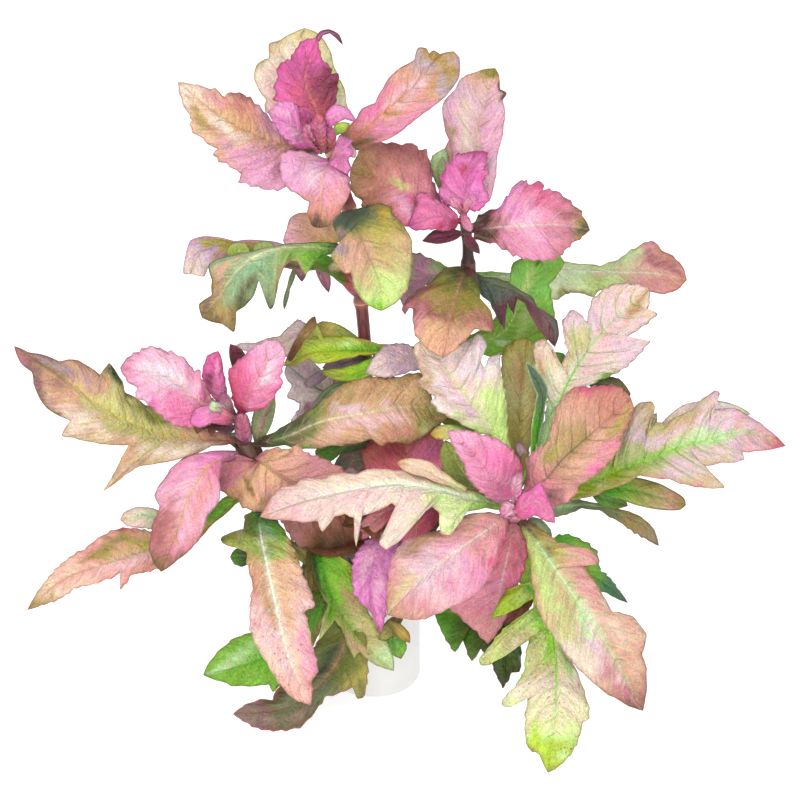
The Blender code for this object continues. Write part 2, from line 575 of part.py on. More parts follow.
def add_leaf(name, leaf):
    """A leaf: its outline and midrib are triangulated in the view, then given a thickness."""
    midrib = leaf_midrib(leaf)
    face, side = leaf_frames(midrib, leaf.get("lean", LEAF_LEAN))
    tip_place = tuple(seen(midrib[-1:])[0])
    root_left = midrib[0] + LEAF_ROOT_HALF_WIDTH * side[0]
    root_right = midrib[0] - LEAF_ROOT_HALF_WIDTH * side[0]
    left_start = tuple(seen(root_left[None])[0])
    right_start = tuple(seen(root_right[None])[0])
    left = thinned([left_start, *leaf["left"], tip_place], EDGE_DETAIL)[1:-1]
    right = thinned([right_start, *leaf["right"], tip_place], EDGE_DETAIL)[1:-1]
    left_points, left_faces = edge_points(left, midrib, face)
    right_points, right_faces = edge_points(right, midrib, face)
    inner = np.linspace(0, MIDRIB_STEPS - 1, MIDRIB_DETAIL + 1).astype(int)[1:-1]

    rim = [root_right, root_left, *left_points, midrib[-1], *reversed(right_points)]
    rim_faces = [face[0], face[0], *left_faces, face[-1], *reversed(right_faces)]
    points = np.array(rim + list(midrib[inner]))
    normals = np.array(rim_faces + list(face[inner]))
    places = [Vector((float(x), -float(y))) for x, y in seen(points)]
    ring = [(i, (i + 1) % len(rim)) for i in range(len(rim))]
    spine = [(len(rim) + i, len(rim) + i + 1) for i in range(len(inner) - 1)]
    drawn = delaunay_2d_cdt(places, ring + spine, [], 1, 1e-4)
    triangles = drawn[2]
    source = drawn[3]
    if len(drawn[0]) != len(places) or any(len(found) != 1 for found in source):
        print(name, "outline crosses itself", len(drawn[0]) - len(places))
    order = [found[0] for found in source]
    front = [tuple(order[corner] for corner in triangle) for triangle in triangles]

    half = 0.5 * LEAF_THICKNESS
    vertices = list(points + half * normals) + list(points - half * normals)
    count = len(points)
    back = [tuple(corner + count for corner in reversed(triangle)) for triangle in front]
    edges = {(t[i], t[(i + 1) % 3]) for t in front for i in range(3)}
    outer = [(a, b) for a, b in sorted(edges) if (b, a) not in edges]
    walls = [(b, a, a + count, b + count) for a, b in outer]
    return link(name, vertices, front + back + walls, TINTS[leaf["tint"]], LEAF_ROUGHNESS)


def tube(path, radii, sides):
    """Vertices and faces of a closed tube: a ring of corners around each point of the path."""
    along = unit(np.gradient(path, axis=0))
    reference = np.array((0.0, 1.0, 0.0))
    first = unit(np.cross(along, np.cross(np.broadcast_to(reference, along.shape), along)))
    second = np.cross(along, first)
    turn = 2 * math.pi * np.arange(sides) / sides
    around = np.cos(turn)[None, :, None] * first[:, None] + np.sin(turn)[None, :, None] * second[:, None]
    rings = path[:, None] + np.asarray(radii)[:, None, None] * around
    vertices = list(rings.reshape(-1, 3))
    faces = []
    for ring in range(len(path) - 1):
        for corner in range(sides):
            here = ring * sides + corner
            beside = ring * sides + (corner + 1) % sides
            faces.append((here, beside, beside + sides, here + sides))
    faces.append(tuple(reversed(range(sides))))
    faces.append(tuple(range((len(path) - 1) * sides, len(path) * sides)))
    return vertices, faces


def stem_radii(count):
    """Full thickness for most of the stem, then a taper to its tip."""
    along = np.linspace(0.0, 1.0, count)
    taper = np.clip((along - 1.0 + STEM_TAPER) / STEM_TAPER, 0.0, 1.0)
    return STEM_RADIUS + (STEM_TIP_RADIUS - STEM_RADIUS) * taper**2


def stem_rings(letter):
    """The points of the stem's axis where its tube has a ring of corners."""
    return stem_path(letter)[np.linspace(0, MIDRIB_STEPS - 1, STEM_RINGS).astype(int)]


def add_stem(letter):
    """A stem: a tapering tube along its route."""
    vertices, faces = tube(stem_rings(letter), stem_radii(STEM_RINGS), STEM_SIDES)
    return link("stem_" + letter, vertices, faces, STEM_COLOUR, STEM_ROUGHNESS)


def lathe(name, profile, sides, colour, roughness):
    """A turned shape: the profile's first and last points are on the axis."""
    turn = 2 * math.pi * np.arange(sides) / sides
    vertices = [(0.0, 0.0, profile[0][1])]
    for radius, height in profile[1:-1]:
        vertices += [(radius * math.cos(angle), radius * math.sin(angle), height) for angle in turn]
    vertices.append((0.0, 0.0, profile[-1][1]))
    rings = len(profile) - 2
    last = len(vertices) - 1
    faces = []
    for corner in range(sides):
        beside = (corner + 1) % sides
        faces.append((0, 1 + beside, 1 + corner))
        for ring in range(rings - 1):
            low = 1 + ring * sides
            high = low + sides
            faces.append((low + corner, low + beside, high + beside, high + corner))
        top = 1 + (rings - 1) * sides
        faces.append((top + corner, top + beside, last))
    return link(name, vertices, faces, colour, roughness)


def add_cup():
    """The cup: a round foot edge, straight sides, a rounded rim and a flat inside floor."""
    foot = CUP_RADIUS - CUP_FOOT_ROUND
    inside = CUP_RADIUS - CUP_WALL
    profile = [(0.0, 0.0), (foot, 0.0)]
    for step in range(1, CUP_ROUND_STEPS + 1):
        angle = 0.5 * math.pi * step / CUP_ROUND_STEPS
        profile.append((foot + CUP_FOOT_ROUND * math.sin(angle),
                        CUP_FOOT_ROUND * (1 - math.cos(angle))))
    profile.append((CUP_RADIUS, CUP_HEIGHT - CUP_RIM_ROUND))
    profile.append((CUP_RADIUS - CUP_RIM_ROUND, CUP_HEIGHT))
    profile.append((CUP_RADIUS - CUP_RIM_ROUND - CUP_RIM_FLAT, CUP_HEIGHT))
    profile.append((inside, CUP_HEIGHT - CUP_RIM_ROUND))
    profile.append((inside, CUP_FLOOR))
    profile.append((0.0, CUP_FLOOR))
    return lathe("cup", profile, CUP_SIDES, CUP_COLOUR, CUP_ROUGHNESS)


def add_medium():
    """The growing medium: a plug that fills the cup, lumpy on top, with a socket for each stem."""
    shoulder = MEDIUM_TOP - MEDIUM_EDGE_DROP
    profile = [(0.0, MEDIUM_BOTTOM), (MEDIUM_RADIUS, MEDIUM_BOTTOM), (MEDIUM_RADIUS, shoulder),
               (0.86 * MEDIUM_RADIUS, MEDIUM_TOP), (0.45 * MEDIUM_RADIUS, MEDIUM_TOP),
               (0.0, MEDIUM_TOP)]
    medium = lathe("medium", profile, MEDIUM_SIDES, MEDIUM_COLOUR, MEDIUM_ROUGHNESS)
    turn_x, turn_y = MEDIUM_LUMP_TURNS
    for vertex in medium.data.vertices:
        x, y, z = vertex.co / MM
        if z > 0.5 * (shoulder + MEDIUM_TOP):
            vertex.co.z += MM * MEDIUM_LUMP * math.sin(turn_x * x + 1.0) * math.cos(turn_y * y)
    for letter in STEMS:
        path = stem_rings(letter)[:SOCKET_RINGS]
        path[0] -= 2 * GAP * UP
        vertices, faces = tube(path, [STEM_RADIUS + 1.5 * GAP] * SOCKET_RINGS, STEM_SIDES)
        socket = link("socket_" + letter, vertices, faces, MEDIUM_COLOUR, MEDIUM_ROUGHNESS)
        socket.hide_render = True
        socket.display_type = "WIRE"
        cut = medium.modifiers.new("socket " + letter, "BOOLEAN")
        cut.operation = "DIFFERENCE"
        cut.solver = "EXACT"
        cut.object = socket
    return medium


for old in list(bpy.data.objects):
    bpy.data.objects.remove(old, do_unlink=True)

add_cup()
add_medium()
for stem_letter in STEMS:
    add_stem(stem_letter)
for leaf_name, leaf_plan in LEAVES.items():
    add_leaf(leaf_name, leaf_plan)
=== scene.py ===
# %% [markdown]
# # A potted hygrophila
#
# The real plant is an aquarium plant with five leafy stems in one small white cup. Its young
# leaves are magenta, its grown ones fade from pink to olive and green, and all have toothed or
# fingered edges. It could be sculpted leaf by leaf, but here every leaf is worked out by one
# formula from a short list of places, so that each can be changed by changing a few numbers.

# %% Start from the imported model
import math

import bpy
import numpy as np
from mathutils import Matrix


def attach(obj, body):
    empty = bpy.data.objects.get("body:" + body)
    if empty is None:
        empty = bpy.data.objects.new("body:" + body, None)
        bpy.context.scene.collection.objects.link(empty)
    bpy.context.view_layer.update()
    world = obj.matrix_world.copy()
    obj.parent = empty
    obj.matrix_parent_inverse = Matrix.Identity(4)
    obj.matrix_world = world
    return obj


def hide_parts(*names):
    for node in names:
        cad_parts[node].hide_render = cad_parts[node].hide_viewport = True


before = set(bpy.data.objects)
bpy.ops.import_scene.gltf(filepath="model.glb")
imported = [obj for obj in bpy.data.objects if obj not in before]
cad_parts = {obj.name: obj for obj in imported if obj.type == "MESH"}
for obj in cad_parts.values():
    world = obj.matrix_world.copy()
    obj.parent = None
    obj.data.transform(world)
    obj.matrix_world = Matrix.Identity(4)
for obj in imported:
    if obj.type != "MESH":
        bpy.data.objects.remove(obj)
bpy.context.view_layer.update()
print("solids to dress:", len(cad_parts))

# %% [markdown]
# The camera looks down at 25 degrees through a long lens, from over a metre away, as a
# product photographer would. The leaves are laid out for this eye: a leaf's edge is a list of
# places in an 800 by 800 view, and each place becomes a point in space once its distance in
# front of the cup's axis is known. So one small model of the eye serves the camera and the
# leaves alike. Lengths are in millimetres until a mesh is made.

# %% The eye and the camera
MM = 0.001
VIEW_DOWN = math.radians(25)
VIEW_DISTANCE = 1100.0
VIEW_TARGET = np.array((11.6, 0.0, 136.0))
VIEW_MIDDLE = 400.0
VIEW_FOCAL = 2600.0
SENSOR_WIDTH = 36.0

LOOK = np.array((0.0, math.cos(VIEW_DOWN), -math.sin(VIEW_DOWN)))
ACROSS = np.array((1.0, 0.0, 0.0))
RISE = np.array((0.0, math.sin(VIEW_DOWN), math.cos(VIEW_DOWN)))
UP = np.array((0.0, 0.0, 1.0))
EYE = VIEW_TARGET - VIEW_DISTANCE * LOOK

lens = bpy.data.cameras.new("camera")
lens.sensor_width = SENSOR_WIDTH
lens.lens = VIEW_FOCAL / (2 * VIEW_MIDDLE) * SENSOR_WIDTH
lens.clip_end = 20.0
camera = bpy.data.objects.new("camera", lens)
camera.location = EYE * MM
camera.rotation_euler = (math.pi / 2 - VIEW_DOWN, 0.0, 0.0)
bpy.context.scene.collection.objects.link(camera)
bpy.context.scene.camera = camera
print("camera stands at", np.round(EYE), "mm, lens", round(lens.lens), "mm")


# %% Places in the view and points in space
def unit(vectors):
    """The same vectors, each divided by its own length."""
    return vectors / np.maximum(np.linalg.norm(vectors, axis=-1, keepdims=True), 1e-9)


def sight_lines(places):
    """The directions to places in the view: straight ahead plus a share across and a share up."""
    across = (places[:, :1] - VIEW_MIDDLE) / VIEW_FOCAL
    rise = (VIEW_MIDDLE - places[:, 1:2]) / VIEW_FOCAL
    return LOOK + across * ACROSS + rise * RISE


def in_space(places):
    """Rows of column, row and distance ahead become points: each sight line is cut where its
    depth is that distance in front of the cup's axis."""
    lines = sight_lines(places)
    reach = (-places[:, 2:3] - EYE[1]) / lines[:, 1:2]
    return EYE + reach * lines


def seen(points):
    """Columns and rows where points appear: their offsets from the eye, divided by depth."""
    offset = points - EYE
    depth = offset @ LOOK
    columns = VIEW_MIDDLE + VIEW_FOCAL * (offset @ ACROSS) / depth
    rows = VIEW_MIDDLE - VIEW_FOCAL * (offset @ RISE) / depth
    return np.stack((columns, rows), axis=-1)


def read_places(text):
    """A list of places written as words of comma-separated numbers becomes an array."""
    return np.array([[float(value) for value in word.split(",")] for word in text.split()])


def read_value(text):
    """Words that are all numbers become one number or a tuple of them, and others stay text."""
    try:
        numbers = tuple(float(word) for word in text.split())
    except ValueError:
        return text
    return numbers[0] if len(numbers) == 1 else numbers


def read_table(text):
    """A table in words becomes a dictionary. An entry starts at the margin with its name and a
    colon, and its fields, with a semicolon between two of them, are a word and a value each."""
    table = {}
    for entry in text.strip().replace("\n ", " ").splitlines():
        name, fields = entry.split(":")
        pairs = [field.split(None, 1) for field in fields.split(";")]
        table[name] = {word: read_value(value) for word, value in pairs}
    return table


def smooth_path(points, count):
    """A smooth curve through points: between two neighbours it is the cubic whose ends have
    the slopes of the chords beside them, so the curve never turns sharply."""
    chords = np.linalg.norm(np.diff(points, axis=0), axis=1)
    knots = np.concatenate(((0.0,), np.cumsum(chords)))
    slopes = np.gradient(points, knots, axis=0)
    along = np.linspace(0.0, knots[-1], count)
    piece = np.clip(np.searchsorted(knots, along, side="right") - 1, 0, len(chords) - 1)
    length = chords[piece][:, None]
    part = (along - knots[piece])[:, None] / length
    start = (2 * part**3 - 3 * part**2 + 1) * points[piece]
    start_slope = (part**3 - 2 * part**2 + part) * length * slopes[piece]
    end = (3 * part**2 - 2 * part**3) * points[piece + 1]
    end_slope = (part**3 - part**2) * length * slopes[piece + 1]
    return start + start_slope + end + end_slope


CUP_RIM_FRONT = np.array(((0.0, -20.5, 55.0),))
print("the cup's rim is seen at", np.round(seen(CUP_RIM_FRONT)[0]))

# %% [markdown]
# Grids of points become meshes in one step, and every finish is built from the same small
# helper that adds one shader node with its settings and links. Colours are written as the hex
# values that a paint program shows, and turned to the linear values that a shader needs.


# %% Helpers for meshes and materials
def place_mesh(name, points, faces, material):
    """Points in millimetres and their faces become a smooth mesh and its object."""
    mesh = bpy.data.meshes.new(name)
    mesh.from_pydata((points.reshape(-1, 3) * MM).tolist(), [], faces)
    mesh.update()
    mesh.shade_smooth()
    mesh.materials.append(material)
    piece = bpy.data.objects.new(name, mesh)
    bpy.context.scene.collection.objects.link(piece)
    return piece


def ring_quads(rings, corners):
    """The quads of a tube: each ring's corner joins its neighbour in the ring and the same
    two corners of the next ring."""
    ring, corner = np.meshgrid(np.arange(rings - 1), np.arange(corners), indexing="ij")
    beside = (corner + 1) % corners
    quads = np.stack((ring * corners + corner, ring * corners + beside,
                      (ring + 1) * corners + beside, (ring + 1) * corners + corner), axis=-1)
    return quads.reshape(-1, 4)


def make_piece(name, grid, material, marks):
    """A grid of rings becomes a closed tube, with its two end rings capped. Each mark is kept
    on the mesh as a number per point, for the finish to read."""
    rings, corners = grid.shape[:2]
    faces = ring_quads(rings, corners).tolist()
    faces.append(list(range(corners))[::-1])
    faces.append(list(range((rings - 1) * corners, rings * corners)))
    piece = place_mesh(name, grid, faces, material)
    for mark, values in marks.items():
        layer = piece.data.attributes.new(mark, "FLOAT", "POINT")
        layer.data.foreach_set("value", np.ascontiguousarray(values, dtype=np.float32).ravel())
    return piece


def hex_colour(text):
    """A hex colour's three parts over 255, turned from sRGB to linear light, and alpha 1."""
    srgb = np.array([int(text[at:at + 2], 16) for at in (1, 3, 5)]) / 255.0
    linear = np.where(srgb <= 0.04045, srgb / 12.92, ((srgb + 0.055) / 1.055) ** 2.4)
    return (*linear.tolist(), 1.0)


def add(tree, kind, inputs=(), **settings):
    """Adds one shader node: settings are its own options, and each input is a value or a link."""
    made = tree.nodes.new("ShaderNode" + kind)
    for option, value in settings.items():
        setattr(made, option, value)
    for name, value in dict(inputs).items():
        if isinstance(value, bpy.types.NodeSocket):
            tree.links.new(value, made.inputs[name])
        else:
            made.inputs[name].default_value = value
    return made


def new_finish(name, roughness, ior=1.45):
    """A named material and its shader, with the roughness and refraction of the real one."""
    material = bpy.data.materials.new(name)
    material.use_nodes = True
    shader = material.node_tree.nodes["Principled BSDF"]
    shader.inputs["Roughness"].default_value = roughness
    shader.inputs["IOR"].default_value = ior
    return material, shader


def set_stops(ramp, stops):
    """Gives a colour ramp its stops, each a share from 0 to 1 and a colour."""
    bar = ramp.color_ramp.elements
    for index, (share, colour) in enumerate(stops):
        stop = bar[index] if index < 2 else bar.new(share)
        stop.position = share
        stop.color = colour


print("pale pink in linear light:", [round(part, 3) for part in hex_colour("#f0a8bd")[:3]])

# %% [markdown]
# Each stem is a maroon cane, a little thinner than a pencil and swollen where leaves grow
# from it. It could be a curve with a bevel, but a tube worked out ring by ring can swell
# at every leaf and keep its length and angle as marks for its finish.

# %% The routes of the stems
STEM_RADIUS = 2.7
STEM_TIP_RADIUS = 1.3
STEM_TAPER = 0.2
MEDIUM_TOP = 49.0
STEM_DEPTH = 14.0
STEM_NECK = 2.0
PATH_STEPS = 161

STEMS = {
    "a": ("367,450,-13 365,345,-14 361,300,-13 353,235,-10 347,200,-7 331,155,-2 324,136,-1",
          (-5.0, 8.0)),
    "b": ("430,440,-15 455,340,-18 468,270,-20 467,240,-20 463,214,-20", (6.0, 9.5)),
    "c": ("325,540,10 285,505,14 256,465,17 243,440,18 237,416,18", (-10.0, -3.0)),
    "d": ("430,560,14 475,548,24 506,530,33 517,508,35 518,488,33", (10.0, -4.0)),
    "e": ("393,550,14 402,515,18 404,496,18", (0.5, -9.0)),
}


def stem_path(letter):
    """The stem's axis: straight up out of the medium, then smoothly through its places."""
    text, foot = STEMS[letter]
    low = np.array(((*foot, MEDIUM_TOP - STEM_DEPTH), (*foot, MEDIUM_TOP + STEM_NECK)))
    return smooth_path(np.vstack((low, in_space(read_places(text)))), PATH_STEPS)


stem_paths = {letter: stem_path(letter) for letter in STEMS}
print("stem lengths:", {letter: round(float(np.linalg.norm(np.diff(path, axis=0), axis=1).sum()))
                        for letter, path in stem_paths.items()}, "mm")
